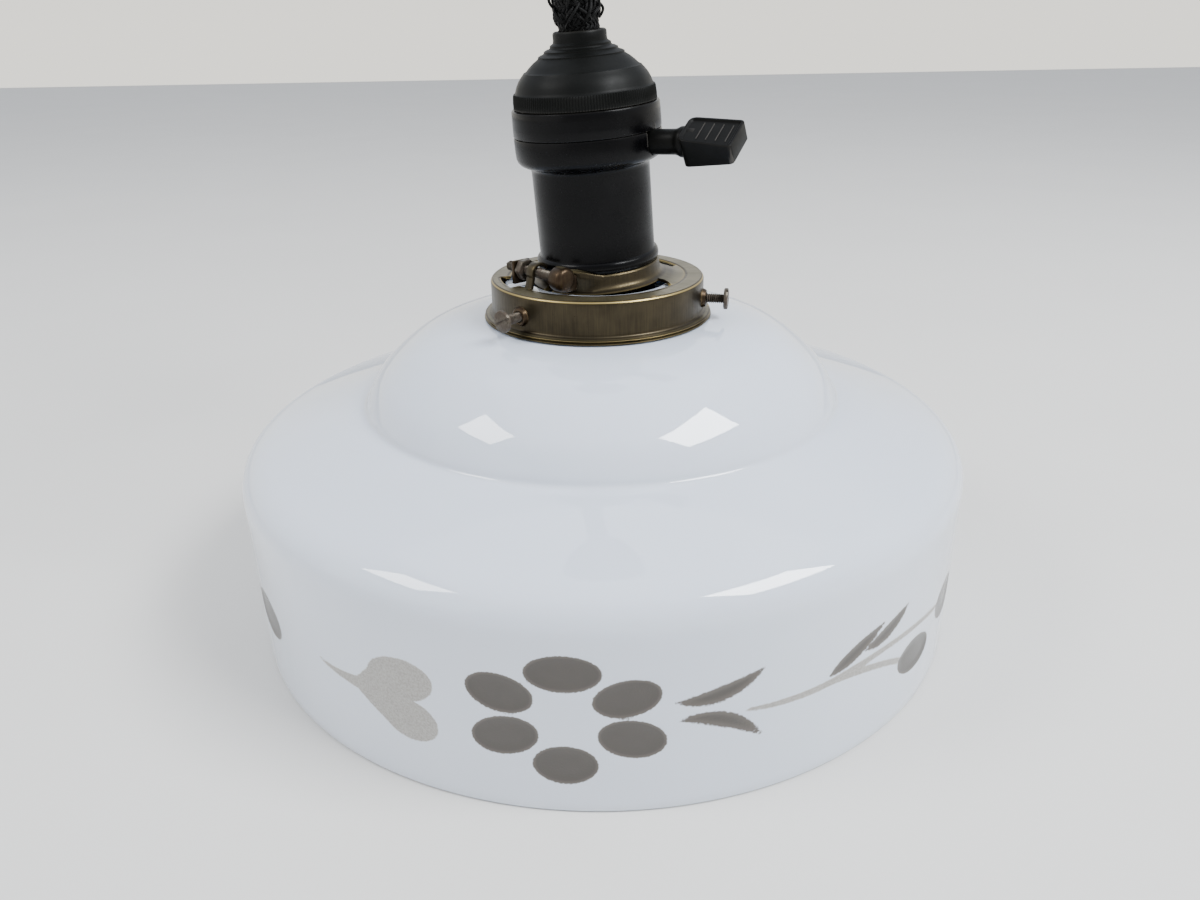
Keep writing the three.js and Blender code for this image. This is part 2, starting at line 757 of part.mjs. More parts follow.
// Two fixed spring leaves that the bridge contact joins when it stands upright.
function makeFixedContacts({ lowerTop, upperFrom }) {
  const sheet = 0.5;
  const places = [upperFrom - FIT - sheet / 2, lowerTop + FIT + sheet / 2];
  places.forEach((height, i) => {
    add(insideGroup, `fixed_contact_${i + 1}`, block(7, 4.2, sheet, 5.4, 0, height), brightBrass());
  });
}

function makeBulbShell() {
  const b = bulbThread;
  const outer = [];
  const inner = [];
  for (let i = 0; i <= b.turns * 2; i += 1) {
    const height = b.top - 0.8 - (i / 2) * b.pitch;
    const radius = b.radius + b.depth * Math.cos((i / 2) * TURN);
    outer.push([radius + b.sheet / 2, height]);
    inner.push([radius - b.sheet / 2, height]);
  }
  const hole = 7.5;
  const outline = [
    [hole, b.top - b.sheet],
    [hole, b.top],
    [b.radius, b.top],
    ...outer,
    ...inner.reverse(),
    [b.radius - b.sheet, b.top - b.sheet],
  ];
  add(insideGroup, 'bulb_shell', turned(outline, 20, true), brightBrass());
  const c = contact;
  const button = turned([
    [0, c.low],
    [c.radius - 0.8, c.low],
    [c.radius, c.low + 0.6],
    [c.radius, c.low + 1.2],
    [c.stem, c.low + 1.8],
    [c.stem, b.top + 7],
    [0, b.top + 7],
  ], 20);
  add(insideGroup, 'centre_contact', button, brightBrass());
}

// ---------------------------------------------------------------- cord, knot and ceiling rose

// The cord leaves the cap in line with the socket, bows out a little and runs up into the rose above
// the shade. Each step of the bow: its distance from the shade's axis as a share of the exit's own,
// and its height as a share of the free length.
const cordBow = [
  [1.16, 0.045],
  [1.3, 0.095],
  [1.38, 0.155],
  [1.31, 0.245],
  [1.12, 0.365],
  [0.84, 0.515],
  [0.49, 0.685],
  [0.2, 0.845],
  [0.02, 0.985],
];
const cordEnd = roseBottom + 8.5;

function makeCord() {
  const points = [-cord.inside, -cord.inside / 2, 0.5].map((up) => onSocketAxis(collarTo + up));
  cordBow.forEach(([out, up]) => {
    points.push(new THREE.Vector3(cordExit.x * out, cordExit.y * out, cordExit.z + up * cord.free));
  });
  points.push(new THREE.Vector3(0, 0, cordEnd));
  add(light, 'pendant_cord', tube(points, cord.radius, cord.sides, cord.steps), blackCotton());
  const knot = new THREE.TorusKnotGeometry(2.9, 1.15, 30, 6, 2, 3);
  add(socketGroup, 'cord_knot', closed(knot.translate(0, 0, ridgeAt - 1)), rubberWire());
}

function makeRose() {
  const r = rose;
  const seat = ceiling - r.baseHeight;
  const baseRadius = r.radius - r.wall - FIT;
  const base = turned([
    [0, seat],
    [baseRadius, seat],
    [baseRadius, ceiling - r.flange - FIT],
    [r.radius, ceiling - r.flange - FIT],
    [r.radius, ceiling],
    [0, ceiling],
  ], 30);
  const holes = [-1, 1].map((side) =>
    rod(r.holeRadius, seat - 2, ceiling + 2, 16).translate(0, (side * r.holeSpacing) / 2, 0));
  const wells = [-1, 1].map((side) =>
    rod(screw.radius + FIT, seat - 1, seat + 5, 14).translate(side * r.terminalAt, 0, 0));
  add(light, 'rose_base', cut(base, ...holes, ...wells), bakelite());

  const way = cord.radius + cord.play;
  const low = roseBottom;
  const rimZ = ceiling - r.flange - 2 * FIT;
  const cap = turned([
    [way, low],
    [way + 3.5, low],
    ...arc(r.radius - r.corner, low + r.corner + 2, r.corner, -70, -10, 3),
    [r.radius, rimZ - 6],
    [r.radius, rimZ],
    [r.radius - r.wall, rimZ],
    [r.radius - r.wall, rimZ - 6],
    ...arc(r.radius - r.corner, low + r.corner + 2, r.corner - r.wall, -10, -70, 3),
    [way, low + r.wall],
  ], 30, true);
  add(light, 'rose_cap', cap, bakelite());

  const clipHeight = 4;
  const clipMiddle = seat - FIT - clipHeight / 2;
  const headTop = seat - clipHeight - 2 * FIT - terminal.headHeight;
  [-1, 1].forEach((side, i) => {
    const clip = cut(
      block(6, 6, clipHeight, side * r.terminalAt, 0, clipMiddle),
      rod(screw.radius + FIT, seat - 9, seat + 1, 14).translate(side * r.terminalAt, 0, 0),
    );
    add(light, `rose_terminal_${i + 1}`, clip, brightBrass());
    const fixing = slottedScrew(9, 2.6, terminal.headHeight);
    const mesh = add(light, `rose_screw_${i + 1}`, fixing, brightBrass());
    mesh.rotation.x = Math.PI;
    mesh.position.set(side * r.terminalAt, 0, headTop);
    const lead = tube([
      new THREE.Vector3(side * 2, 0, cordEnd + 1.6),
      new THREE.Vector3(side * 3.4, 0, cordEnd + 2.6),
      new THREE.Vector3(side * 6, 0, cordEnd + 4.6),
      new THREE.Vector3(side * (r.terminalAt - 4.2), 0, clipMiddle),
    ], wire.radius, 8, 10);
    add(light, `rose_conductor_${i + 1}`, lead, rubberWire());
  });
}

makeShade();
makeHolder();
makeNeckScrews();
makeClampScrew();
makeSkirt();
makeBody();
makeCap();
makeKey();
const levels = makeInnerBlock();
makeTerminals(levels);
makeFixedContacts(levels);
makeBulbShell();
makeCord();
makeRose();

export default model;
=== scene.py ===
"""Pendant ceiling light: opal glass shade, brass fitter, black key socket, braided cord, rose.

Shapes are drawn in millimetres above the shade's rim and placed in metres in the frame's own axes,
whose origin is the ceiling face of the rose. Every piece rides on the body that carries it.
"""

import json
import math
import random

import bmesh
import bpy
import numpy as np
from mathutils import Matrix, Vector


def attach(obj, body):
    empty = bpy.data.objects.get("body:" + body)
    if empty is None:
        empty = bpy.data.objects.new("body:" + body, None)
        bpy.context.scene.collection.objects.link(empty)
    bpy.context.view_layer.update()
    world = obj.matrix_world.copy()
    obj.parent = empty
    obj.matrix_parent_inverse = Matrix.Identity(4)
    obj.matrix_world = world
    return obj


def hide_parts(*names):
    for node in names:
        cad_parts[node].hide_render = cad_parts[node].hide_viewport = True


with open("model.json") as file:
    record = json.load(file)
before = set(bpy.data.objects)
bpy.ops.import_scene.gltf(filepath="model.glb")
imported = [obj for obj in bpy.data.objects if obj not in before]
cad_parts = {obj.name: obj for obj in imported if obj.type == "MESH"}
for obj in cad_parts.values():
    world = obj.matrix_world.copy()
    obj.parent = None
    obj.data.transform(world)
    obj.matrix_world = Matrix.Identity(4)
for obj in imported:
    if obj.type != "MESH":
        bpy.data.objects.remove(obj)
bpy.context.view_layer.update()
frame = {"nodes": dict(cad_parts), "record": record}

# ---------------------------------------------------------------- sizes, in millimetres

RIM_BELOW_CEILING = 300.52
HOLDER_TOP = 105.0
HOLDER_SHIFT = -0.6
SOCKET_SHIFT = 0.1
SOCKET_LEAN = (1.82, -3.76)
KEY_HEIGHT = 38.4
KEY_AZIMUTH = -30
KEY_TURN = 25
CLAMP_AZIMUTH = -139
CLAMP_RADIUS = 21.2
CLAMP_HEIGHT = 3.6
CORD_RADIUS = 5.8
COLLAR_TOP = 67.7

# heights of the drum, in metres in the frame, that bound its painted edge highlight
DRUM_MIDDLE = 0.001 * (HOLDER_TOP - 6 - RIM_BELOW_CEILING)
LIP_EDGE = 0.001 * (HOLDER_TOP - 10.6 - RIM_BELOW_CEILING)


def turned_by(axis, degrees):
    return Matrix.Rotation(math.radians(degrees), 4, axis)


def moved(x=0.0, y=0.0, z=0.0):
    return Matrix.Translation((x, y, z))


LIGHT = Matrix.Scale(0.001, 4) @ moved(z=-RIM_BELOW_CEILING)
HOLDER = LIGHT @ moved(HOLDER_SHIFT)
SOCKET = (
    LIGHT
    @ moved(SOCKET_SHIFT, 0, HOLDER_TOP)
    @ turned_by("X", SOCKET_LEAN[0])
    @ turned_by("Y", SOCKET_LEAN[1])
)
KEY = SOCKET @ moved(z=KEY_HEIGHT) @ turned_by("Z", KEY_AZIMUTH) @ turned_by("X", KEY_TURN)
INSIDE = SOCKET @ turned_by("Z", KEY_AZIMUTH)
CLAMP = HOLDER @ turned_by("Z", CLAMP_AZIMUTH) @ moved(z=HOLDER_TOP)

# ---------------------------------------------------------------- camera


CAMERA_PLACE = (-0.00197, -0.28872, -0.12483)  # metres, in the part's frame
CAMERA_TURN = (24.07, 0.26, -0.99)  # degrees: looking down, to the right, and the horizon's tilt
CAMERA_SENSOR, CAMERA_LENS = 36, 29.1  # mm
CAMERA_NEAR = 0.01


def place_camera():
    """A little above the shade, looking down on its front, with a slight tilt of the horizon."""
    pitch, yaw, roll = (math.radians(angle) for angle in CAMERA_TURN)
    ahead = Vector(
        (math.sin(yaw) * math.cos(pitch), math.cos(yaw) * math.cos(pitch), -math.sin(pitch))
    )
    right = Vector((math.cos(yaw), -math.sin(yaw), 0))
    up = right.cross(ahead)
    across = right * math.cos(roll) + up * math.sin(roll)
    upward = up * math.cos(roll) - right * math.sin(roll)
    data = bpy.data.cameras.new("camera")
    data.sensor_width = CAMERA_SENSOR
    data.lens = CAMERA_LENS
    data.clip_start = CAMERA_NEAR
    camera = bpy.data.objects.new("camera", data)
    turned = Matrix((across, upward, -ahead)).transposed().to_4x4()
    camera.matrix_world = Matrix.Translation(CAMERA_PLACE) @ turned
    bpy.context.scene.collection.objects.link(camera)
    bpy.context.scene.camera = camera


place_camera()

# ---------------------------------------------------------------- small tools for shapes


def turn(profile, steps, loop=False, sweep=360.0, start=0.0):
    """Spins a line of [radius, height] points about Z."""
    bm = bmesh.new()
    first = [bm.verts.new((r, 0, z)) for r, z in profile]
    pairs = list(zip(first, first[1:]))
    if loop:
        pairs.append((first[-1], first[0]))
    edges = [bm.edges.new(pair) for pair in pairs]
    whole = sweep >= 360
    bmesh.ops.spin(
        bm,
        geom=first + edges,
        cent=(0, 0, 0),
        axis=(0, 0, 1),
        angle=math.radians(sweep),
        steps=steps,
        use_merge=whole,
        use_duplicate=False,
    )
    if whole:
        bmesh.ops.remove_doubles(bm, verts=bm.verts, dist=1e-4)
    elif loop:
        bmesh.ops.holes_fill(bm, edges=[e for e in bm.edges if e.is_boundary], sides=0)
    bmesh.ops.rotate(bm, cent=(0, 0, 0), matrix=turned_by("Z", start).to_3x3(), verts=bm.verts)
    bmesh.ops.recalc_face_normals(bm, faces=bm.faces)
    return bm


def slab(outline, low, high, edge=0.0, segments=2):
    """A flat plate with an outline of [x, y] points and softened edges."""
    bm = bmesh.new()
    face = bm.faces.new([bm.verts.new((x, y, low)) for x, y in outline])
    grown = bmesh.ops.extrude_face_region(bm, geom=[face])
    moving = [v for v in grown["geom"] if isinstance(v, bmesh.types.BMVert)]
    bmesh.ops.translate(bm, vec=(0, 0, high - low), verts=moving)
    bmesh.ops.recalc_face_normals(bm, faces=bm.faces)
    if edge:
        soften(bm, edge, segments)
    return bm


def soften(bm, edge, segments=2, sharper_than=30, off_level=-1.0):
    """Rounds the sharp edges, apart from those that lie within off_level of height 0."""
    limit = math.radians(sharper_than)
    sharp = [
        e
        for e in bm.edges
        if e.is_manifold
        and e.calc_face_angle() > limit
        and max(abs(v.co.z) for v in e.verts) > off_level
    ]
    bmesh.ops.bevel(
        bm,
        geom=sharp,
        offset=edge,
        affect="EDGES",
        segments=segments,
        profile=0.5,
        material=-1,
        clamp_overlap=True,
    )


def rod(radius, low, high, steps=32, edge=0.15):
    edge = min(edge, radius * 0.4)
    return turn(
        [
            (0, low),
            (radius - edge, low),
            (radius, low + edge),
            (radius, high - edge),
            (radius - edge, high),
            (0, high),
        ],
        steps,
    )


def transformed(bm, matrix):
    bmesh.ops.transform(bm, matrix=matrix, verts=bm.verts)
    return bm


def together(*parts):
    whole = bmesh.new()
    for part in parts:
        mesh = bpy.data.meshes.new("part")
        part.to_mesh(mesh)
        part.free()
        whole.from_mesh(mesh)
        bpy.data.meshes.remove(mesh)
    return whole


def carved(bm, *cutters):
    """The shape with the cutters' shapes taken out of it."""
    objects = []
    for shape in (bm, *cutters):
        mesh = bpy.data.meshes.new("carve")
        shape.to_mesh(mesh)
        shape.free()
        item = bpy.data.objects.new("carve", mesh)
        bpy.context.scene.collection.objects.link(item)
        objects.append(item)
    for cutter in objects[1:]:
        modifier = objects[0].modifiers.new("cut", "BOOLEAN")
        modifier.operation = "DIFFERENCE"
        modifier.solver = "EXACT"
        modifier.object = cutter
    bpy.context.view_layer.update()
    seen = objects[0].evaluated_get(bpy.context.evaluated_depsgraph_get())
    result = bmesh.new()
    result.from_mesh(seen.to_mesh())
    for item in objects:
        mesh = item.data
        bpy.data.objects.remove(item)
        bpy.data.meshes.remove(mesh)
    return result


def piece(name, bm, place, material, body, slot, *nodes, sharp=35):
    """Makes a finished object from a shape, in its place in the frame, riding on its body."""
    bmesh.ops.transform(bm, matrix=place, verts=bm.verts)
    mesh = bpy.data.meshes.new(name)
    bm.to_mesh(mesh)
    bm.free()
    mesh.shade_smooth()
    mesh.set_sharp_from_angle(angle=math.radians(sharp))
    mesh.materials.append(material)
    item = bpy.data.objects.new(name, mesh)
    bpy.context.scene.collection.objects.link(item)
    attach(item, body)
    if nodes:
        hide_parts(*nodes)
    return item


def arc_points(cx, cz, radius, start, end, steps):
    turns = [math.radians(start + (end - start) * i / steps) for i in range(steps + 1)]
    return [(cx + radius * math.cos(a), cz + radius * math.sin(a)) for a in turns]


def bezier(a, b, c, steps):
    points = []
    for i in range(steps + 1):
        t = i / steps
        points.append(
            tuple((1 - t) ** 2 * p + 2 * t * (1 - t) * q + t * t * r for p, q, r in zip(a, b, c))
        )
    return points


def smooth_line(points, steps):
    """A Catmull-Rom line through the points."""
    points = [Vector(p) for p in points]
    padded = [2 * points[0] - points[1], *points, 2 * points[-1] - points[-2]]
    line = []
    for a, b, c, d in zip(padded, padded[1:], padded[2:], padded[3:]):
        for i in range(steps):
            t = i / steps
            line.append(
                0.5
                * (
                    2 * b
                    + (c - a) * t
                    + (2 * a - 5 * b + 4 * c - d) * t**2
                    + (3 * b - a - 3 * c + d) * t**3
                )
            )
    line.append(points[-1])
    return line


# ---------------------------------------------------------------- small tools for materials


def linear(code):
    """An sRGB hex colour as linear red, green, blue and alpha."""
    values = [int(code[i : i + 2], 16) / 255 for i in (0, 2, 4)]
    return (*(v / 12.92 if v <= 0.04045 else ((v + 0.055) / 1.055) ** 2.4 for v in values), 1.0)


def add(tree, kind, inputs=None, **settings):
    """Adds a node, with its settings, and its inputs as values or as links."""
    made = tree.nodes.new("ShaderNode" + kind)
    for key, value in settings.items():
        setattr(made, key, value)
    for key, value in (inputs or {}).items():
        if isinstance(value, bpy.types.NodeSocket):
            tree.links.new(value, made.inputs[key])
        else:
            made.inputs[key].default_value = value
    return made


def new_material(name, **values):
    material = bpy.data.materials.new(name)
    material.use_nodes = True
    tree = material.node_tree
    tree.nodes.clear()
    shader = add(tree, "BsdfPrincipled", {k.replace("_", " "): v for k, v in values.items()})
    add(tree, "OutputMaterial", {"Surface": shader.outputs[0]})
    return material, tree, shader


def per_mm(size):
    """The scale of a pattern whose features are this many millimetres."""
    return 1000.0 / size


def object_place(tree):
    return add(tree, "TexCoord").outputs["Object"]


def grain(tree, size, detail=3.0, place=None):
    place = place or object_place(tree)
    return add(
        tree, "TexNoise", {"Vector": place, "Scale": per_mm(size), "Detail": detail}
    ).outputs["Fac"]


def ranged(tree, value, low, high, to_low, to_high, smooth=False):
    kind = "SMOOTHSTEP" if smooth else "LINEAR"
    return add(
        tree,
        "MapRange",
        {"Value": value, "From Min": low, "From Max": high, "To Min": to_low, "To Max": to_high},
        interpolation_type=kind,
    ).outputs[0]


def blend(tree, share, first, second):
    return add(
        tree, "Mix", {0: share, 6: first, 7: second}, data_type="RGBA"
    ).outputs[2]


def math_node(tree, operation, first, second=0.0):
    return add(tree, "Math", {0: first, 1: second}, operation=operation).outputs[0]


def bumped(tree, shader, height, depth_mm, strength=1.0):
    made = add(tree, "Bump", {"Height": height, "Distance": depth_mm * 0.001, "Strength": strength})
    tree.links.new(made.outputs[0], shader.inputs["Normal"])


def link(tree, value, shader, socket):
    tree.links.new(value, shader.inputs[socket])


# ---------------------------------------------------------------- materials


def opal_glass():
    """Pot opal glass, blown and fire polished: milky, glossy, slightly cool.

    The leaf decoration is ground into it: dark hollows, painted shade of the inside seen through
    them, and paler frosted ones.
    """
    material, tree, shader = new_material(
        "opal_glass_blown",
        IOR=1.52,
        Subsurface_Weight=0.2,
        Subsurface_Radius=(0.9, 1.0, 1.15),
        Subsurface_Scale=0.005,
        Coat_Weight=0.6,
        Coat_Roughness=0.02,
    )
    milk = blend(tree, grain(tree, 60, 2), linear("CED7E6"), linear("D8E0EE"))
    dark = add(tree, "Attribute", attribute_name="dark_cut").outputs["Fac"]
    frost = add(tree, "Attribute", attribute_name="frost_cut").outputs["Fac"]
    edge = ranged(tree, grain(tree, 0.7, 5), 0.3, 0.7, -0.13, 0.13)
    in_dark = ranged(tree, math_node(tree, "ADD", dark, edge), 0.15, -0.15, 0, 1, smooth=True)
    in_frost = ranged(tree, math_node(tree, "ADD", frost, edge), 0.22, -0.22, 0, 1, smooth=True)
    grit = ranged(tree, grain(tree, 0.5, 4), 0.35, 0.65, 0, 1)
    frosted = blend(tree, grit, linear("908E8A"), linear("A5A39F"))
    # painted shade of the inside seen through each cut: darkest deep in the hollow, lighter towards
    # its frosted edge
    depth = ranged(tree, dark, 0.0, -1.1, 0, 1, smooth=True)
    painted_inside_shade = blend(tree, depth, linear("544D46"), linear("37312B"))
    patch = ranged(tree, grain(tree, 2.2, 4), 0.4, 0.75, 0, 0.35)
    painted_cut_colour = blend(tree, patch, painted_inside_shade, linear("3D352E"))
    colour = blend(tree, in_frost, milk, frosted)
    colour = blend(tree, in_dark, colour, painted_cut_colour)
    link(tree, colour, shader, "Base Color")
    ground = math_node(tree, "MAXIMUM", in_frost, in_dark)
    link(tree, ranged(tree, ground, 0, 1, 0.04, 0.55), shader, "Roughness")
    height = math_node(tree, "MULTIPLY", ground, grain(tree, 0.5, 3))
    waves = math_node(tree, "MULTIPLY", grain(tree, 42, 1), 1.4)
    bumped(tree, shader, math_node(tree, "ADD", height, waves), 0.1, 0.5)
    return material


def worn_and_lit_edges(tree, low=0.52, high=0.6):
    """Where edges stand proud: rubbed wear, and on the brass and the black moulding also a painted
    highlight along them.
    """
    edge = add(tree, "NewGeometry").outputs["Pointiness"]
    return ranged(tree, edge, low, high, 0, 1, smooth=True)


def azimuth_place(tree, along, stretch):
    """A pattern's place drawn out along Z, for marks that run up and down a turned wall."""
    parts = add(tree, "SeparateXYZ", {0: object_place(tree)})
    angle = math_node(tree, "ARCTAN2", parts.outputs[1], parts.outputs[0])
    round_it = math_node(tree, "MULTIPLY", angle, along * 0.001)
    height = math_node(tree, "MULTIPLY", parts.outputs[2], stretch)
    return add(tree, "CombineXYZ", {0: round_it, 1: height}).outputs[0]


def aged_brass(name="aged_brass_spun", shade="2E281D", pale="3D3628", rub_and_highlight="A8945F", edge=0.05):
    """Sheet brass, spun and lacquered, now browned and streaked; lighter tops and yellower rounded
    edges are painted highlight, partly over rubbed wear.
    """
    material, tree, shader = new_material(name, Metallic=0.85)
    blotch = ranged(tree, grain(tree, 9, 4), 0.35, 0.68, 0, 1)
    streak = grain(tree, 0.45, 4, azimuth_place(tree, 32, 0.05))
    streaks = ranged(tree, streak, 0.35, 0.7, 0, 1)
    base = blend(tree, blotch, linear(shade), linear(pale))
    # lighter vertical streaks: marks in the brass, their lighter colour also a painted highlight
    # streak
    base = blend(tree, math_node(tree, "MULTIPLY", streaks, 0.18), base, linear("5A5039"))
    normal = add(tree, "SeparateXYZ", {0: add(tree, "NewGeometry").outputs["Normal"]}).outputs[2]
    # painted highlight: faces that look straight up get a lighter colour for the light they catch
    # from above
    upward = ranged(tree, normal, 0.95, 0.998, 0, 0.85)
    top = blend(tree, blotch, linear("6F684F"), linear("857D64"))
    base = blend(tree, upward, base, top)
    # painted highlight: the rounded edges of the upper drum and of the lip get a yellower colour
    # for the light they catch
    rounded = math_node(
        tree,
        "MULTIPLY",
        ranged(tree, normal, 0.35, 0.6, 0, edge),
        ranged(tree, normal, 0.7, 0.85, 1, 0),
    )
    height = add(tree, "SeparateXYZ", {0: object_place(tree)}).outputs[2]
    upper = ranged(tree, height, DRUM_MIDDLE - 0.001, DRUM_MIDDLE, 0, 1)
    lip = ranged(tree, height, LIP_EDGE + 0.0002, LIP_EDGE, 0, 0.7)
    rounded = math_node(tree, "MULTIPLY", rounded, math_node(tree, "MAXIMUM", upper, lip))
    base = blend(tree, rounded, base, linear(rub_and_highlight))
    specks = ranged(tree, grain(tree, 0.8, 5), 0.7, 0.76, 0, 0.45)
    base = blend(tree, specks, base, linear("2A2218"))
    # edges that stand proud: rubbed wear, painted lighter as a highlight too
    base = blend(tree, worn_and_lit_edges(tree, 0.55, 0.64), base, linear(rub_and_highlight))
    link(tree, base, shader, "Base Color")
    rough = math_node(tree, "ADD", ranged(tree, streaks, 0, 1, 0.42, 0.3), specks)
    link(tree, rough, shader, "Roughness")
    bumped(tree, shader, math_node(tree, "ADD", streak, grain(tree, 3.5, 3)), 0.02, 0.3)
    return material


def rusted_steel():
    """Turned steel screws, oxidised: dark grey with brown rust bloom and bright rubbed corners."""
    material, tree, shader = new_material("steel_turned_rusted")
    bloom = ranged(tree, grain(tree, 1.6, 6), 0.42, 0.62, 0, 1)
    base = blend(tree, bloom, linear("565047"), linear("43382E"))
    base = blend(tree, ranged(tree, grain(tree, 0.5, 3), 0.55, 0.7, 0, 0.7), base, linear("2A231D"))
    base = blend(tree, worn_and_lit_edges(tree, 0.55, 0.68), base, linear("948B7D"))
    link(tree, base, shader, "Base Color")
    link(tree, ranged(tree, bloom, 0, 1, 0.85, 0.35), shader, "Metallic")
    link(tree, ranged(tree, bloom, 0, 1, 0.34, 0.62), shader, "Roughness")
    bumped(tree, shader, grain(tree, 0.45, 4), 0.05, 0.6)
    return material


def bakelite(name="bakelite_moulded", deep="020203", pale="060607", low=0.2, high=0.32, shine=0.12):
    """Compression-moulded black phenolic, softly glossy and dulled where it was handled."""
    material, tree, shader = new_material(name, IOR=1.5, Specular_IOR_Level=shine)
    flow = ranged(tree, grain(tree, 14, 4), 0.35, 0.65, 0, 1)
    base = blend(tree, flow, linear(deep), linear(pale))
    dust = ranged(tree, grain(tree, 0.45, 2), 0.74, 0.8, 0, 0.2)
    base = blend(tree, dust, base, linear("4A4947"))
    # proud edges lighter: handling wear and a painted highlight line along them
    base = blend(tree, worn_and_lit_edges(tree, 0.53, 0.62), base, linear("3A3835"))
    link(tree, base, shader, "Base Color")
    dulled = ranged(tree, grain(tree, 6, 4), 0.3, 0.7, low, high)
    link(tree, dulled, shader, "Roughness")
    bumped(tree, shader, grain(tree, 1.3, 3), 0.012, 0.35)
    return material


def braided_cotton():
    """Glazed black cotton yarn, braided: matt, with a faint sheen and pale flecks: stray fibres and
    painted glints.
    """
    material, tree, shader = new_material(
        "cotton_braided_glazed",
        Sheen_Weight=0.02,
        Sheen_Roughness=0.4,
        Specular_IOR_Level=0.14,
    )
    fibre = grain(tree, 0.35, 3)
    base = blend(tree, ranged(tree, fibre, 0.3, 0.7, 0, 1), linear("020202"), linear("060606"))
    # pale flecks: stray fibres, and painted glints of the glazed yarn
    lint_and_glints = ranged(tree, grain(tree, 0.6, 2), 0.68, 0.76, 0, 0.7)
    base = blend(tree, lint_and_glints, base, linear("4A4B4D"))
    link(tree, base, shader, "Base Color")
    link(tree, ranged(tree, fibre, 0.3, 0.7, 0.36, 0.7), shader, "Roughness")
    bumped(tree, shader, fibre, 0.12, 0.8)
    return material


def turned_brass():
    """Stamped and turned brass inside the socket: yellow, lightly tarnished."""
    material, tree, shader = new_material("brass_stamped", Metallic=1.0)
    tarnish = ranged(tree, grain(tree, 3, 5), 0.4, 0.68, 0, 1)
    base = blend(tree, tarnish, linear("C7A45C"), linear("8C7038"))
    link(tree, base, shader, "Base Color")
    link(tree, ranged(tree, tarnish, 0, 1, 0.24, 0.46), shader, "Roughness")
    bumped(tree, shader, grain(tree, 0.5, 3), 0.02, 0.5)
    return material


def glazed_porcelain():
    """Pressed electrical porcelain: off-white glaze over a body with faint specks."""
    material, tree, shader = new_material("porcelain_glazed", IOR=1.52, Coat_Weight=0.4)
    specks = ranged(tree, grain(tree, 0.7, 3), 0.68, 0.74, 0, 0.6)
    base = blend(tree, grain(tree, 12, 3), linear("DDD7C9"), linear("E9E4D8"))
    link(tree, blend(tree, specks, base, linear("8F8674")), shader, "Base Color")
    link(tree, ranged(tree, grain(tree, 5, 3), 0.3, 0.7, 0.16, 0.3), shader, "Roughness")
    bumped(tree, shader, grain(tree, 3, 3), 0.05, 0.4)
    return material


def rubber_insulation():
    """Old vulcanised rubber on the wires: brown-black, dry and finely crazed."""
    material, tree, shader = new_material("rubber_vulcanised")
    crack = add(
        tree,
        "TexVoronoi",
        {"Vector": object_place(tree), "Scale": per_mm(0.9)},
        feature="DISTANCE_TO_EDGE",
    ).outputs[0]
    crazed = ranged(tree, crack, 0, 0.08, 0, 1)
    base = blend(tree, grain(tree, 2, 4), linear("2C2521"), linear("40362F"))
    link(tree, blend(tree, crazed, linear("14100E"), base), shader, "Base Color")
    link(tree, ranged(tree, grain(tree, 1, 3), 0.3, 0.7, 0.5, 0.8), shader, "Roughness")
    bumped(tree, shader, crazed, 0.05, 0.5)
    return material


def spring_wire():
    """Drawn spring steel wire: pale grey with fine marks from the die."""
    material, tree, shader = new_material("steel_wire_drawn", Metallic=1.0)
    drawn = grain(tree, 0.3, 4)
    link(tree, blend(tree, drawn, linear("8E9093"), linear("B4B5B7")), shader, "Base Color")
    link(tree, ranged(tree, drawn, 0.3, 0.7, 0.2, 0.4), shader, "Roughness")
    return material


def floor_paper():
    """Smooth pale backdrop paper."""
    material, tree, shader = new_material("paper_backdrop")
    base = blend(tree, grain(tree, 90, 2), linear("D9D8D5"), linear("DEDDDA"))
    link(tree, base, shader, "Base Color")
    link(tree, ranged(tree, grain(tree, 2, 2), 0, 1, 0.7, 0.9), shader, "Roughness")
    return material


OPAL = opal_glass()
BRASS = aged_brass()
DRUM_BRASS = aged_brass("aged_brass_edge_highlight", edge=0.9)
DARK_BRASS = aged_brass("aged_brass_browned", "2A1F16", "3A2C1F", "6B5A40")
STEEL = rusted_steel()
BAKELITE = bakelite()
CAP_BAKELITE = bakelite("bakelite_cap_dulled", "060706", "0C0D0C", 0.4, 0.52, 0.1)
KEY_BAKELITE = bakelite("bakelite_key_worn", "050504", "0B0B0A", 0.34, 0.5, 0.1)
COTTON = braided_cotton()
BRIGHT_BRASS = turned_brass()
PORCELAIN = glazed_porcelain()
RUBBER = rubber_insulation()
SPRING = spring_wire()

# ---------------------------------------------------------------- cord


def cord_line():
    """The cord's centre line: in line with the socket, a slow bow, then straight up to the rose."""
    to_mm = LIGHT.inverted() @ SOCKET
    leaving = to_mm @ Vector((0, 0, COLLAR_TOP))
    points = [to_mm @ Vector((0, 0, COLLAR_TOP + up)) for up in (-7.6, -3.8, 0.5)]
    bow = [
        (1.16, 0.045),
        (1.3, 0.095),
        (1.38, 0.155),
        (1.31, 0.245),
        (1.12, 0.365),
        (0.84, 0.515),
        (0.49, 0.685),
        (0.2, 0.845),
        (0.02, 0.985),
    ]
    for out, up in bow:
        points.append(Vector((leaving.x * out, leaving.y * out, leaving.z + up * 100)))
    points.append(Vector((0, 0, leaving.z + 108.5)))
    return smooth_line(points, 24)


def strand_curve(name, thickness):
    data = bpy.data.curves.new(name, "CURVE")
    data.dimensions = "3D"
    data.bevel_depth = thickness
    data.bevel_resolution = 1
    data.use_fill_caps = True
    return data


def add_strand(data, points):
    spline = data.splines.new("POLY")
    spline.points.add(len(points) - 1)
    for target, point in zip(spline.points, points):
        target.co = (*point, 1)


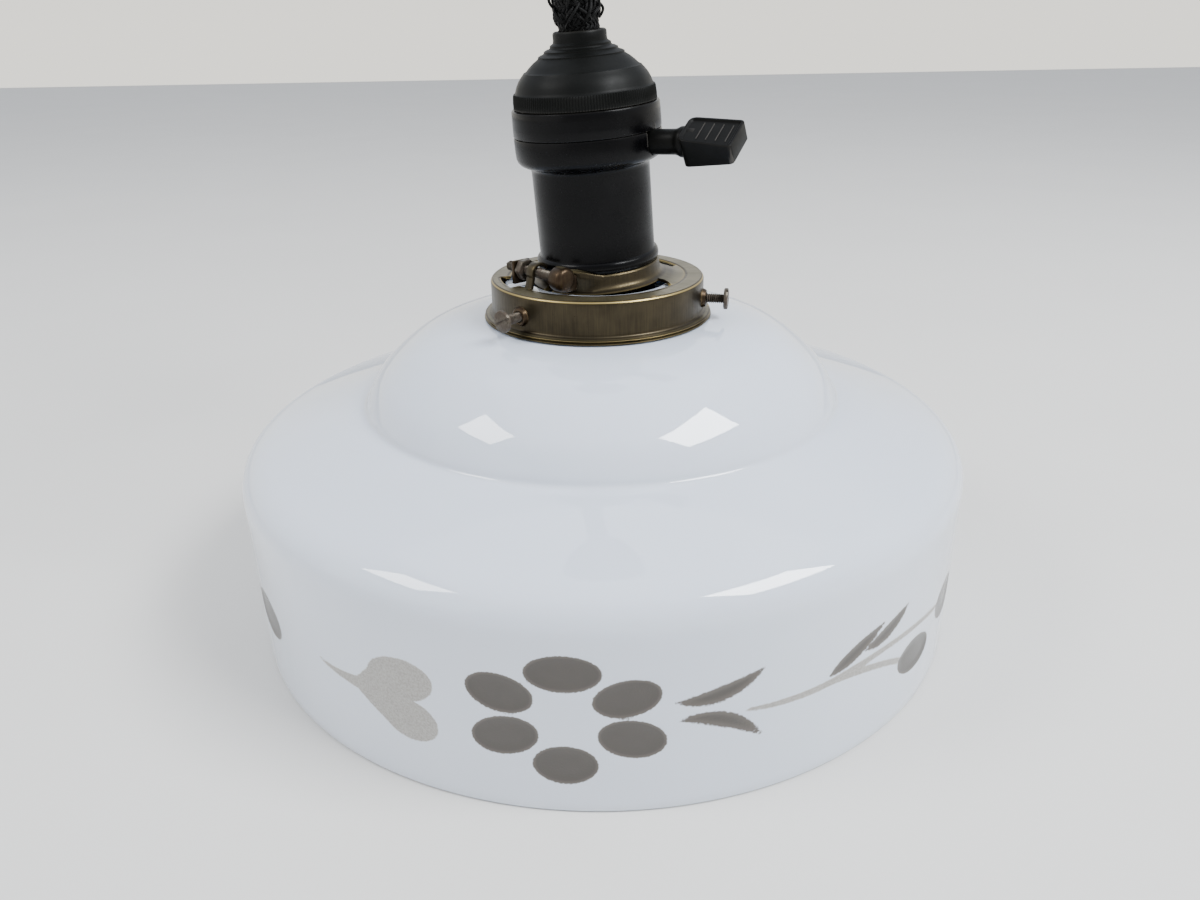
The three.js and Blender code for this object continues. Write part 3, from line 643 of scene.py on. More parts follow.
def even_frames(line, step):
    """Evenly spaced points along a line, each with two directions across it that don't twist."""
    lengths = [0.0]
    for a, b in zip(line, line[1:]):
        lengths.append(lengths[-1] + (b - a).length)
    frames = []
    side = Vector((1, 0, 0))
    index = 0
    count = int(lengths[-1] / step)
    for i in range(count + 1):
        at = lengths[-1] * i / count
        while index < len(line) - 2 and lengths[index + 1] < at:
            index += 1
        share = (at - lengths[index]) / (lengths[index + 1] - lengths[index])
        along = (line[index + 1] - line[index]).normalized()
        side = (side - along * side.dot(along)).normalized()
        frames.append((at, line[index].lerp(line[index + 1], share), side, along.cross(side)))
    return frames


def make_cord():
    """Two sets of twelve double yarns, wound both ways and passing over and under each other."""
    line = cord_line()
    frames = even_frames(line, 0.5)
    carriers = 12
    radius = CORD_RADIUS - 0.75
    twist = 1 / radius
    data = strand_curve("braid", 0.47)
    for way in (1, -1):
        for carrier in range(carriers):
            for side in (-0.5, 0.5):
                points = []
                for at, middle, across, other in frames:
                    angle = 2 * math.pi * (carrier + side * 0.47) / carriers + way * twist * at
                    out = radius + 0.24 * way * math.cos(carriers * twist * at)
                    side_way = math.cos(angle) * across + math.sin(angle) * other
                    points.append(middle + out * side_way)
                add_strand(data, points)
    core = [middle for _, middle, _, _ in frames[::4]]
    core_data = strand_curve("braid_core", radius - 0.3)
    core_data.bevel_resolution = 6
    add_strand(core_data, core)
    # a few yarns have worked loose where the cord enters the cap
    chance = random.Random(7)
    fray = strand_curve("loose_yarns", 0.4)
    for yarn in range(84):
        at_cap = yarn < 34
        start = chance.uniform(8.4, 13.5) if at_cap else chance.uniform(12, 92)
        span = chance.uniform(3, 7)
        angle = chance.uniform(0, 2 * math.pi)
        turn_by = chance.uniform(-0.9, 0.9)
        lift = chance.uniform(0.8, 2.3) if at_cap else chance.uniform(0.3, 0.9)
        near = [f for f in frames if start <= f[0] <= start + span]
        points = []
        for at, middle, across, other in near:
            share = (at - start) / span
            here = angle + turn_by * share
            out = radius + 0.1 + lift * math.sin(math.pi * share) ** 0.8
            points.append(middle + out * (math.cos(here) * across + math.sin(here) * other))
        add_strand(fray, points)
    bm = bmesh.new()
    for curve in (data, core_data, fray):
        holder = bpy.data.objects.new(curve.name, curve)
        bpy.context.scene.collection.objects.link(holder)
        bpy.context.view_layer.update()
        seen = holder.evaluated_get(bpy.context.evaluated_depsgraph_get())
        bm.from_mesh(seen.to_mesh())
        bpy.data.objects.remove(holder)
        bpy.data.curves.remove(curve)
    cord = piece(
        "cord_braid", bm, LIGHT, COTTON, "fitting", "black_cotton", "pendant_cord", sharp=60
    )
    path = [LIGHT @ point for point in line[::6]]
    path.append(LIGHT @ line[-1])
    return cord, path


# ---------------------------------------------------------------- ceiling rose


def make_rose():
    """A two-part moulded rose: a screwed base and a domed cap that the cord passes through."""
    low = RIM_BELOW_CEILING - 28
    top = RIM_BELOW_CEILING
    rim = top - 3.6
    way = CORD_RADIUS + 0.5
    outline = [
        (way, low + 0.5),
        (way + 0.4, low),
        (way + 3.0, low),
        (way + 3.5, low + 0.4),
        *arc_points(18, low + 14, 12, -72, -8, 12),
        (29.95, rim - 7),
        (29.95, rim - 5.2),
        (29.5, rim - 4.9),
        (29.5, rim - 4.4),
        (29.95, rim - 4.1),
        (29.95, rim - 0.4),
        (29.6, rim),
        (27.6, rim),
        (27.6, rim - 6),
        *arc_points(18, low + 14, 9.6, -8, -72, 12),
        (way, low + 2.4),
    ]
    cap = turn(outline, 240, loop=True)
    knurl_band(cap, 29.7, 0.12, rim - 4.2, rim - 0.2, 240)
    rose_cap = piece("rose_cap_moulded", cap, LIGHT, BAKELITE, "fitting", "bakelite", "rose_cap")
    seat = top - 9
    base_outline = [
        (0, seat),
        (26.9, seat),
        (27.3, seat + 0.4),
        (27.3, top - 3.3),
        (29.6, top - 3.3),
        (29.95, top - 2.9),
        (29.95, top - 0.4),
        (29.6, top),
        (0, top),
    ]
    holes = [
        transformed(rod(2.2, seat - 1, top + 1, 32, 0), moved(0, side * 18)) for side in (-1, 1)
    ]
    wells = [
        transformed(rod(1.75, seat - 1, seat + 5, 24, 0), moved(side * 13)) for side in (-1, 1)
    ]
    base = carved(turn(base_outline, 120), *holes, *wells)
    piece("rose_base_moulded", base, LIGHT, BAKELITE, "fitting", "bakelite", "rose_base")
    return rose_cap


def knurl_band(bm, beyond, depth, low, high, steps):
    """Raises every second column of a turned wall between two heights into a rib."""
    for vert in bm.verts:
        radius = math.hypot(vert.co.x, vert.co.y)
        if radius > beyond and low < vert.co.z < high:
            column = round(math.atan2(vert.co.y, vert.co.x) / (2 * math.pi) * steps)
            out = radius + (0 if column % 2 else -depth)
            vert.co.x *= out / radius
            vert.co.y *= out / radius


# ---------------------------------------------------------------- glass shade

BAND_RADIUS = 110.5
REPEATS = 3
REPEAT = 2 * math.pi * BAND_RADIUS / REPEATS


def shade_profile():
    """The closed section of the glass, from the ground rim up the outside and down the inside."""
    band = [(109.8, 0.0), (110.1, 0.15), (110.3, 0.6), (110.33, 3.0), (110.35, 5.5)]
    rows = 54
    band += [(110.35 + 0.35 * i / rows, 5.5 + (48.5 - 5.5) * i / rows) for i in range(1, rows + 1)]
    shoulder = bezier((110.7, 50.5), (110.7, 58.05), (101.0, 60.99), 12)
    slope = [(94, 63.1), (87, 65.15), (80, 67.1), (75.6, 68.25), (73.8, 68.5), (72.9, 68.8)]
    dome = [
        (72.4, 69.4, 0),
        (71.6, 71.6, 0),
        (67.82, 77.73, 0),
        (60.9, 84.2, 0),
        (53.16, 89.1, 0),
        (43.6, 91.9, 0),
        (33.93, 92.9, 0),
        (28.6, 93.6, 0),
        (26.7, 96.2, 0),
    ]
    dome = [(p.x, p.y) for p in smooth_line(dome, 3)]
    lip = [
        (26.6, 98.5),
        (26.6, 100.9),
        (27.0, 101.3),
        (28.1, 101.5),
        (28.5, 101.9),
        (28.5, 102.9),
        (28.2, 103.4),
        (27.6, 103.8),
        (21.5, 103.9),
        (20.9, 103.7),
        (20.6, 103.2),
        (20.8, 102.0),
        (23.6, 98.5),
        (23.6, 93.5),
        (24.6, 91.2),
        (27.5, 90.2),
        (33.5, 89.9),
    ]
    inside = [
        (43.0, 88.9),
        (51.8, 86.3),
        (59.0, 81.8),
        (65.6, 75.6),
        (69.0, 70.4),
        (69.9, 67.4),
        (72.2, 65.8),
        (86.2, 62.2),
        (100.1, 58.1),
        (105.0, 56.0),
        (107.2, 53.2),
        (107.7, 50.5),
        (107.5, 25),
        (107.3, 0.6),
        (107.6, 0.1),
        (108.0, 0.0),
    ]
    return band + shoulder + slope + dome + lip + inside


def to_oval(u, v, centre, half, lean=0.0):
    """Signed distance to an oval with half sizes across and up, turned by lean degrees."""
    c, s = math.cos(math.radians(lean)), math.sin(math.radians(lean))
    x = (u - centre[0]) * c + (v - centre[1]) * s
    y = (v - centre[1]) * c - (u - centre[0]) * s
    near = np.hypot(x / half[0], y / half[1])
    steep = np.hypot(x / half[0] ** 2, y / half[1] ** 2)
    return near * (near - 1) / np.maximum(steep, 1e-6)


def to_stroke(u, v, line, widths):
    """Signed distance to a stroke along a bent line, with half widths at its start, middle, end."""
    points = bezier(*line, 20)
    start, middle, end = widths
    nearest = np.full_like(u, 1e3)
    for i, (a, b) in enumerate(zip(points, points[1:])):
        dx, dy = b[0] - a[0], b[1] - a[1]
        share = np.clip(((u - a[0]) * dx + (v - a[1]) * dy) / (dx * dx + dy * dy), 0, 1)
        away = np.hypot(u - a[0] - share * dx, v - a[1] - share * dy)
        at = (i + share) / (len(points) - 1)
        half = start * (1 - at) * (1 - 2 * at) + 4 * middle * at * (1 - at)
        half = half + end * at * (2 * at - 1)
        nearest = np.minimum(nearest, away - half)
    return nearest


def decoration(u, v):
    """Signed distances, in millimetres, to the dark cuts, painted as shade of the inside seen
    through them, and the frosted cuts of one repeat.

    u runs along the band from the front, v is the height above the rim.
    """
    ovals = [
        ((-10.6, 40.7), (9.1, 5.1), 0),
        ((-25.8, 34.1), (8.3, 5.4), -12),
        ((-25.0, 21.9), (8.4, 5.6), 12),
        ((-10.6, 14.4), (7.9, 5.7), 0),
        ((4.1, 33.8), (8.2, 5.2), 12),
        ((5.3, 22.1), (8.3, 5.5), -12),
        ((93.5, 17.8), (9.4, 5.4), -8),
        ((117.3, 23.6), (10.2, 6.2), -6),
    ]
    thin, full = 0.1, 2.2
    leaves = [
        (((15.2, 31.6), (27, 30.4), (36.9, 37.6)), (thin, full, thin)),
        (((16.1, 26.3), (28, 27.6), (37.4, 17.6)), (thin, full, thin)),
        (((56.0, 28.3), (63, 31.6), (75.0, 36.9)), (thin, full, thin)),
        (((68.1, 31.2), (77, 32.0), (85.8, 37.8)), (thin, full, thin)),
    ]
    stems = [
        (((33.1, 26.2), (45, 25.2), (57.1, 26.5)), (0.5, 0.9, 1.0)),
        (((57.1, 26.5), (72, 26.0), (86, 19.6)), (1.0, 1.0, 0.9)),
        (((57.1, 26.5), (82, 30.2), (109, 25.2)), (1.0, 0.9, 0.8)),
    ]
    dark = np.full_like(u, 1e3)
    frost = np.full_like(u, 1e3)
    for turn_back in (-REPEAT, 0, REPEAT):
        x = u - turn_back
        for centre, half, lean in ovals:
            dark = np.minimum(dark, to_oval(x, v, centre, half, lean))
        for line, widths in leaves:
            dark = np.minimum(dark, 0.55 * to_stroke(x, v, line, widths))
        for line, widths in stems:
            frost = np.minimum(frost, to_stroke(x, v, line, widths))
        lobes = [
            to_oval(x, v, (-52.4, 31.5), (9.8, 6.2), 8),
            to_oval(x, v, (-50.6, 20.3), (8.4, 6.2), -8),
            to_stroke(x, v, ((-80.8, 26.9), (-75, 25.2), (-64, 25.6)), (0.35, 1.0, 2.2)),
            to_stroke(x, v, ((-66, 25.4), (-61, 28), (-55, 31)), (1.6, 3.4, 5.2)),
            to_stroke(x, v, ((-66, 25.4), (-61, 23), (-54, 21)), (1.6, 3.2, 5.0)),
        ]
        for lobe in lobes:
            frost = np.minimum(frost, lobe)
    return dark, frost


def make_shade():
    bm = turn(shade_profile(), 640, loop=True, start=-90)
    shade = piece("shade_blown", bm, LIGHT, OPAL, "fitting", "opal_glass", "glass_shade", sharp=50)
    mesh = shade.data
    place = np.zeros(len(mesh.vertices) * 3)
    mesh.vertices.foreach_get("co", place)
    place = place.reshape(-1, 3)
    x, y = place[:, 0] * 1000, place[:, 1] * 1000
    height = place[:, 2] * 1000 + RIM_BELOW_CEILING
    radius = np.hypot(x, y)
    along = np.arctan2(x, -y) * BAND_RADIUS
    along = (along + REPEAT / 2) % REPEAT - REPEAT / 2
    outer = (radius > 109.5) & (height > 4) & (height < 50)
    dark, frost = decoration(along, height)
    dark[~outer] = 1e3
    frost[~outer] = 1e3
    hollow = 0.4 * np.clip(-dark / 2.4, 0, 1) ** 0.7 + 0.22 * np.clip(-frost / 1.6, 0, 1)
    place[:, 0] *= 1 - hollow / np.maximum(radius, 1)
    place[:, 1] *= 1 - hollow / np.maximum(radius, 1)
    mesh.vertices.foreach_set("co", place.ravel())
    for name, values in (("dark_cut", dark), ("frost_cut", frost)):
        attribute = mesh.attributes.new(name, "FLOAT", "POINT")
        attribute.data.foreach_set("value", np.clip(values, -20, 20).astype(np.float32))
    mesh.update()
    return shade


# ---------------------------------------------------------------- brass shade holder


def make_holder():
    """Spun drum and ring in one sheet, a split collar, its bridge, and the clamp's lug and ear."""
    top = HOLDER_TOP
    outline = [(26.0, top), (27.5, top), (29.0, top), (30.2, top), (31.0, top - 0.05)]
    outline += arc_points(30.9, top - 1.1, 1.1, 80, 5, 6)
    outline += [
        (32.0, top - 2.2),
        (32.0, top - 5),
        (32.0, top - 9.3),
        (32.05, top - 9.8),
        (32.3, top - 10.15),
        (32.8, top - 10.35),
        (33.5, top - 10.45),
        (34.0, top - 10.5),
        (34.2, top - 10.7),
        (34.05, top - 10.9),
        (33.7, top - 10.95),
    ]
    drum = turn(outline, 180)
    window = [
        face
        for face in drum.faces
        if math.hypot(*face.calc_center_median().xy) < 29
        and -176 < math.degrees(math.atan2(*face.calc_center_median().yx)) < -150
    ]
    bmesh.ops.delete(drum, geom=window, context="FACES")
    for face in drum.faces:
        if face.normal.dot(Vector((*face.calc_center_median().xy, 60))) < 0:
            face.normal_flip()
    drum_object = piece(
        "holder_drum", drum, HOLDER, DRUM_BRASS, "fitting", "aged_brass", "shade_holder", sharp=40
    )
    sheet = drum_object.modifiers.new("sheet", "SOLIDIFY")
    sheet.thickness = 0.0007
    sheet.offset = -1
    sheet.use_even_offset = True

    collar_outline = [
        (16.95, -0.85),
        (19.6, -0.85),
        (20.0, -0.5),
        (19.85, -0.05),
        (19.2, 0.25),
        (18.6, 0.8),
        (18.25, 1.7),
        (18.1, 2.8),
        (18.1, 3.9),
        (17.85, 4.25),
        (17.3, 4.3),
        (17.0, 4.1),
        (16.95, 2),
    ]
    gap = 3.0 / 17.5 / math.pi * 180
    collar = turn(
        collar_outline, 200, loop=True, sweep=360 - gap, start=CLAMP_AZIMUTH + gap / 2
    )
    # the flank swells up and out to carry the clamp's lug
    for vert in collar.verts:
        azimuth = math.degrees(math.atan2(vert.co.y, vert.co.x))
        swell = min(
            np.interp(azimuth, [-112, -84], [1, 0]), np.interp(azimuth, [-131, -120], [0, 1])
        )
        swell = swell * swell * (3 - 2 * swell)
        radius = math.hypot(vert.co.x, vert.co.y)
        if vert.co.z > 0.5:
            grown = 1 + swell * (2.6 if radius > 17.4 else 1.2) * min(vert.co.z / 3, 1) / radius
            vert.co.x *= grown
            vert.co.y *= grown
            vert.co.z += swell * 2.3 * min((vert.co.z - 0.5) / 3.5, 1)
    piece("holder_collar", collar, SOCKET, BRASS, "fitting", "aged_brass", "shade_holder")
    make_bridge()
    make_clamp_fittings()


def make_bridge():
    """The one piece of sheet left between the slots, dished from the tilted collar to the ring."""
    outline = [
        (18.4, 0.9),
        (18.8, 0.45),
        (19.4, 0.15),
        (20.4, 0.0),
        (22, 0.0),
        (24, 0.0),
        (26.3, 0.0),
        (26.3, -0.85),
        (24, -0.85),
        (22, -0.85),
        (20.4, -0.85),
        (18.4, -0.85),
    ]
    bridge = turn(outline, 40, loop=True, sweep=43, start=-29)
    leaning = HOLDER.inverted() @ SOCKET
    middle = math.radians(-29 + 43 / 2)
    for vert in bridge.verts:
        radius = math.hypot(vert.co.x, vert.co.y)
        # wider where it meets the collar and the ring, so that the slots' ends are round
        away = math.atan2(vert.co.y, vert.co.x) - middle
        away *= 1 + 0.28 * ((radius - 22) / 4) ** 2
        vert.co.x = radius * math.cos(middle + away)
        vert.co.y = radius * math.sin(middle + away)
        share = min(max((radius - 19.0) / 6.0, 0), 1)
        share = share * share * (3 - 2 * share)
        level = Vector((vert.co.x, vert.co.y, vert.co.z + HOLDER_TOP))
        vert.co = (leaning @ vert.co).lerp(level, share)
    piece("holder_bridge", bridge, HOLDER, BRASS, "fitting", "aged_brass", "shade_holder")


def along_clamp(bm, at=0.0):
    """Lays a shape drawn about Z along the clamp screw, at a place on it."""
    return transformed(bm, moved(CLAMP_RADIUS, at, CLAMP_HEIGHT) @ turned_by("X", -90))


def make_clamp_fittings():
    knob = [(0, -2.5), (2.9, -2.5), (3.4, -2.0), (3.5, -1.2), (3.5, 0.9), (3.3, 1.7), (2.7, 2.3)]
    knob += [(1.8, 2.5), (0, 2.55)]
    lug = carved(along_clamp(turn(knob, 48), 9.2), along_clamp(rod(1.6, -6, 1.7, 32, 0), 9.2))
    web = slab([(17.2, -2.0), (21.6, -2.4), (21.6, 2.2), (17.2, 2.0)], 0.1, 4.6, 0.6, 3)
    web = carved(transformed(web, moved(y=9.2)), along_clamp(rod(2.6, -6, 1.6, 32, 0), 9.2))
    lug = together(lug, web)
    piece("clamp_lug", lug, CLAMP, DARK_BRASS, "fitting", "aged_brass", "shade_holder")

    ear = slab([(18.1, -0.6), (24.2, -0.6), (24.2, 6.2), (18.1, 6.2)], -0.6, 0.6, 0.3, 3)
    ear = transformed(ear, moved(y=-9.8) @ turned_by("X", 90))
    ear = carved(ear, along_clamp(rod(1.75, -3, 3, 32, 0), -9.8))
    piece("clamp_ear", ear, CLAMP, DARK_BRASS, "fitting", "aged_brass", "shade_holder")

    # the tongue of the ring that is bent up over the screw
    bend = 2.7
    path = [(27.5, -0.45), (26, -0.42), (CLAMP_RADIUS + bend + 0.6, -0.35)]
    path += arc_points(CLAMP_RADIUS, CLAMP_HEIGHT, bend, -20, 150, 16)
    over, under = [], []
    for i, (x, z) in enumerate(path):
        before, after = path[max(i - 1, 0)], path[min(i + 1, len(path) - 1)]
        along = Vector((after[0] - before[0], after[1] - before[1])).normalized()
        over.append((x + 0.45 * along.y, z - 0.45 * along.x))
        under.append((x - 0.45 * along.y, z + 0.45 * along.x))
    hook = slab(over + under[::-1], -1.5, 1.5, 0.15, 2)
    hook = transformed(hook, moved(y=-1.8) @ turned_by("X", 90))
    piece("clamp_hook", hook, CLAMP, BRASS, "fitting", "aged_brass", "shade_holder")


# ---------------------------------------------------------------- screws and nut


def threaded(length, radius, start, pitch=0.6, depth=0.3):
    """A turned outline of thread ridges running down from start to the blunt tip at -length."""
    points = []
    z = start
    while z - pitch > -length + 0.5:
        points += [(radius - depth, z), (radius, z - pitch / 2)]
        z -= pitch
    return [*points, (radius - depth, z), (radius - depth - 0.2, -length), (0, -length)]


def screw_shape(length, head_radius=3.15, head_height=1.2):
    outline = [
        (0, 0.0),
        (head_radius - 0.45, 0.0),
        (head_radius - 0.12, -0.12),
        (head_radius, -0.35),
        (head_radius, -head_height + 0.2),
        (head_radius - 0.2, -head_height),
        (1.6, -head_height),
        (1.45, -head_height - 0.15),
        *threaded(length, 1.45, -head_height - 0.4),
    ]
    reach, half_slot = head_radius + 1, 0.35
    slot = slab(
        [(-reach, -half_slot), (reach, -half_slot), (reach, half_slot), (-reach, half_slot)],
        -0.5,
        0.5,
    )
    return carved(turn(outline, 48), slot)


def make_screws():
    drum_radius, neck_radius, reach = 32.0, 26.9, 6.4
    head_at = drum_radius + reach + 1.2
    for i in range(3):
        azimuth = -13 - 120 * i
        side = HOLDER_SHIFT * math.cos(math.radians(azimuth))
        tip = -side + math.sqrt(side**2 - HOLDER_SHIFT**2 + neck_radius**2)
        # each head came to rest with its slot at its own angle
        spin = (28, -64, 12)[i]
        place = (
            HOLDER
            @ turned_by("Z", azimuth)
            @ moved(head_at, 0, 98.9)
            @ turned_by("Y", 90)
            @ turned_by("Z", spin)
        )
        name = f"neck_screw_{i + 1}"
        shape = screw_shape(head_at - tip)
        piece(name + "_turned", shape, place, STEEL, name, "dark_steel", name)
        # the burr that tapping raised round the hole in the drum's wall
        lip = [(1.72, -0.15), (2.9, -0.15), (2.75, 0.35), (2.45, 1.0), (2.1, 1.2), (1.72, 1.15)]
        burr = turn(lip, 40, loop=True)
        around = HOLDER @ turned_by("Z", azimuth)
        burr_place = around @ moved(drum_radius, 0, 98.9) @ turned_by("Y", 90)
        piece(f"screw_boss_{i + 1}", burr, burr_place, DARK_BRASS, "fitting", "aged_brass")

    length = 26.3
    ridges = [(r, z + length) for r, z in threaded(length, 1.45, -0.4)]
    outline = [(0, length), (0.9, length), *ridges]
    slot = slab([(-3, -0.35), (3, -0.35), (3, 0.35), (-3, 0.35)], -1, 1)
    shank = carved(turn(outline, 40), slot)
    piece(
        "clamp_screw_turned",
        along_clamp(shank, -15.8),
        CLAMP,
        STEEL,
        "clamp_screw",
        "dark_steel",
        "clamp_screw",
    )
    corner = 5.5 / 2 / math.cos(math.pi / 6)
    hexagon = [
        (corner * math.cos(math.radians(a)), corner * math.sin(math.radians(a)))
        for a in range(0, 360, 60)
    ]
    nut = carved(slab(hexagon, -1.2, 1.2, 0.3, 3), rod(1.7, -3, 3, 32, 0))
    nut = along_clamp(nut, -7.7)
    piece("clamp_nut_cut", nut, CLAMP, STEEL, "fitting", "dark_steel", "clamp_nut")


# ---------------------------------------------------------------- socket shells


def make_cap():
    """The domed cap: a knurled ring, a faint ledge, and three rounded steps up to the cord."""
    outline = [
        (17.8, 48.85),
        (19.9, 48.78),
        (20.15, 48.95),
        (20.1, 49.5),
        (20.1, 50.4),
        (20.0, 51.4),
        (19.9, 52.3),
        (19.75, 52.7),
        (19.35, 52.95),
        (19.1, 53.5),
        (18.7, 54.6),
        (18.05, 55.8),
        (17.2, 56.95),
        (16.55, 57.65),
        (16.4, 57.9),
        (16.05, 58.05),
        (15.6, 58.3),
        (14.7, 59.2),
        (13.4, 60.3),
        (12.2, 61.1),
        (11.95, 61.35),
        (11.95, 61.7),
        (11.3, 62.05),
        (10.55, 62.3),
        (10.25, 62.55),
        (10.2, 62.95),
        (9.4, 63.35),
        (8.7, 63.5),
        (8.45, 63.8),
        (8.4, 64.3),
        (7.9, 64.6),
        (7.5, 64.9),
        (7.4, 65.6),
        (7.4, 67.1),
        (7.15, 67.55),
        (6.8, 67.7),
        (6.45, 67.5),
        (6.3, 67.0),
        (6.3, 62.0),
        (10.4, 58.7),
        (13.4, 55.7),
        (16.75, 52.8),
    ]
    cap = turn(outline, 320, loop=True)
    knurl_band(cap, 19.5, 0.22, 49.3, 52.9, 320)
    name = "socket_cap_moulded"
    piece(name, cap, SOCKET, CAP_BAKELITE, "fitting", "bakelite", "socket_cap", sharp=30)


def key_way():
    """The way in for the key's stem, open up to the seam between the shells."""
    across = 3.55
    outline = [(-across, 3.2), *arc_points(0, 0, across, 180, 360, 20), (across, 3.2)]
    way = slab(outline, 12.4, 26)
    stand = Matrix(((0, 0, 1), (1, 0, 0), (0, 1, 0))).to_4x4()
    round_way = transformed(rod(across, 12.4, 26, 40, 0), turned_by("Y", 90))
    turned_in = turned_by("Z", KEY_AZIMUTH) @ moved(z=KEY_HEIGHT)
    return [transformed(way, turned_in @ stand), transformed(round_way, turned_in)]


def make_body():
    outline = [
        (16.2, 41.9),
        (18.6, 41.6),
        (20.6, 41.5),
        (20.88, 41.6),
        (21.0, 41.85),
        (20.97, 44),
        (20.9, 46.4),
        (20.84, 48.2),
        (20.65, 48.55),
        (20.3, 48.68),
        (18.4, 48.68),
        (18.4, 42.7),
        (16.2, 42.7),
    ]
    body = carved(turn(outline, 320, loop=True), *key_way())
    piece("socket_body_moulded", body, SOCKET, BAKELITE, "fitting", "bakelite", "socket_body")


def make_skirt():
    """The lower shell: the neck in the collar, a raised bead, a plain skirt and the wide band."""
    outline = [
        (15.0, -9.8),
        (15.2, -10),
        (16.1, -10),
        (16.6, -9.5),
        (16.6, 4.1),
        (16.9, 4.4),
        (17.7, 4.55),
        (18.05, 5.2),
        (18.1, 6.1),
        (17.95, 6.9),
        (17.6, 7.4),
        (17.15, 7.7),
        (17.0, 8.3),
        (17.0, 14),
        (17.0, 20),
        (17.0, 26),
        (17.0, 31.6),
        (17.1, 32.3),
        (17.45, 32.85),
        (18.1, 33.2),
        (19.0, 33.45),
        (19.9, 33.95),
        (20.6, 34.8),
        (20.92, 35.8),
        (21.0, 37.5),
        (21.0, 40.95),
        (20.88, 41.28),
        (20.65, 41.4),
        (18.9, 41.4),
        (18.9, 35.6),
        (15.0, 33.2),
        (15.0, 10),
    ]
    skirt = carved(turn(outline, 320, loop=True), *key_way())
    piece("socket_skirt_moulded", skirt, SOCKET, BAKELITE, "fitting", "bakelite", "socket_skirt")


def make_key():
    """A tapered paddle with a raised border and fine ribs, on a round stem with a small flare."""
    inner, outer = 30.6, 45.8
    stem = turn(
        [
            (0, 12.4),
            (4.2, 12.4),
            (4.4, 12.6),
            (4.4, 13.6),
            (4.1, 13.9),
            (3.4, 13.9),
            (3.4, 20),
            (3.4, 26),
            (3.42, 27.6),
            (3.7, 28.5),
            (4.05, 29.2),
            (4.1, 30),
            (3.9, 31),
            (3.6, 33.6),
            (0, 33.6),
        ],
        64,
    )
    stem = carved(stem, rod(2.3, 11, 21.3, 32, 0))
    stem = transformed(stem, turned_by("Y", 90))
    parts = [stem]
    corner = 2.6
    for side in (1, -1):
        # each half of the paddle stops just short of the parting line
        outline = [
            *bezier((inner, -5.5 + corner), (inner, -5.5), (inner + corner, -5.5), 6),
            *bezier((outer - 1.2, -6), (outer, -6), (outer, -4.8), 4),
            *bezier((outer, 4.8), (outer, 6), (outer - 1.2, 6), 4),
            *bezier((inner + corner, 5.5), (inner, 5.5), (inner, 5.5 - corner), 6),
        ]
        half = slab(outline, 0.0, 0.5)
        faces = [f for f in half.faces if f.normal.z > 0.9]
        bmesh.ops.inset_region(half, faces=faces, thickness=0.7, depth=0.0)
        middle = [f for f in faces if f.is_valid]
        bmesh.ops.inset_region(half, faces=middle, thickness=0.35, depth=0.0)
        sunk = {v for f in middle for v in f.verts}
        for vert in half.verts:
            share = (vert.co.x - inner) / (outer - inner)
            thick = 8.6 + (5.2 - 8.6) * share
            lower = 0.45 if vert in sunk else 0.0
            vert.co.z = (vert.co.z * thick - lower) * side if vert.co.z > 0 else 0.0
        if side < 0:
            bmesh.ops.reverse_faces(half, faces=half.faces)
        soften(half, 0.3, 3, 50, off_level=0.5)
        parts.append(half)
        flip = turned_by("X", 0 if side > 0 else 180) @ turned_by("Y", 6.4)
        for rib in range(4):
            at = inner + 4.2 + rib * 2.7
            level = (8.6 + (5.2 - 8.6) * (at - inner) / (outer - inner)) / 2 - 0.47
            rib_plan = [(-0.12, -3.6), (0.12, -3.6), (0.12, 3.6), (-0.12, 3.6)]
            ridge = slab(rib_plan, -0.2, 0.16, 0.05, 1)
            parts.append(transformed(ridge, flip @ moved(at, 0, level + at * 0.1121)))
    near, far = inner + 0.8, outer - 0.35
    core = slab([(near, -5), (far, -5.6), (far, 5.6), (near, 5)], -0.3, 0.3)
    parts.append(core)
    key = together(*parts)
    piece("key_paddle_moulded", key, KEY, KEY_BAKELITE, "key", "bakelite", "key_handle")


# ---------------------------------------------------------------- inside the socket


def make_bulb_shell():
    """The pressed screw shell: a round thread in thin brass, closed by a ring at the top."""
    radius, depth, pitch, top, turns, sheet = 13.6, 0.35, 3.63, 20.0, 7, 0.5
    outer, inner = [], []
    for i in range(turns * 12 + 1):
        height = top - 0.8 - i / 12 * pitch
        wave = radius + depth * math.cos(i / 12 * 2 * math.pi)
        outer.append((wave + sheet / 2, height))
        inner.append((wave - sheet / 2, height))
    outline = [
        (7.5, top - sheet),
        (7.5, top),
        (radius - 0.3, top),
        *outer,
        *inner[::-1],
        (radius - sheet, top - sheet),
    ]
    shell = turn(outline, 96, loop=True)
    piece("bulb_shell_pressed", shell, INSIDE, BRIGHT_BRASS, "fitting", "brass_parts", "bulb_shell")
    button = turn(
        [
            (0, 13.4),
            (1.6, 13.42),
            (2.5, 13.6),
            (3.05, 14.0),
            (3.2, 14.4),
            (3.05, 14.75),
            (1.9, 15.1),
            (1.6, 15.5),
            (1.6, 26.8),
            (1.4, 27),
            (0, 27),
        ],
        48,
    )
    piece(
        "centre_contact_turned",
        button,
        INSIDE,
        BRIGHT_BRASS,
        "centre_contact",
        "brass_parts",
        "centre_contact",
    )


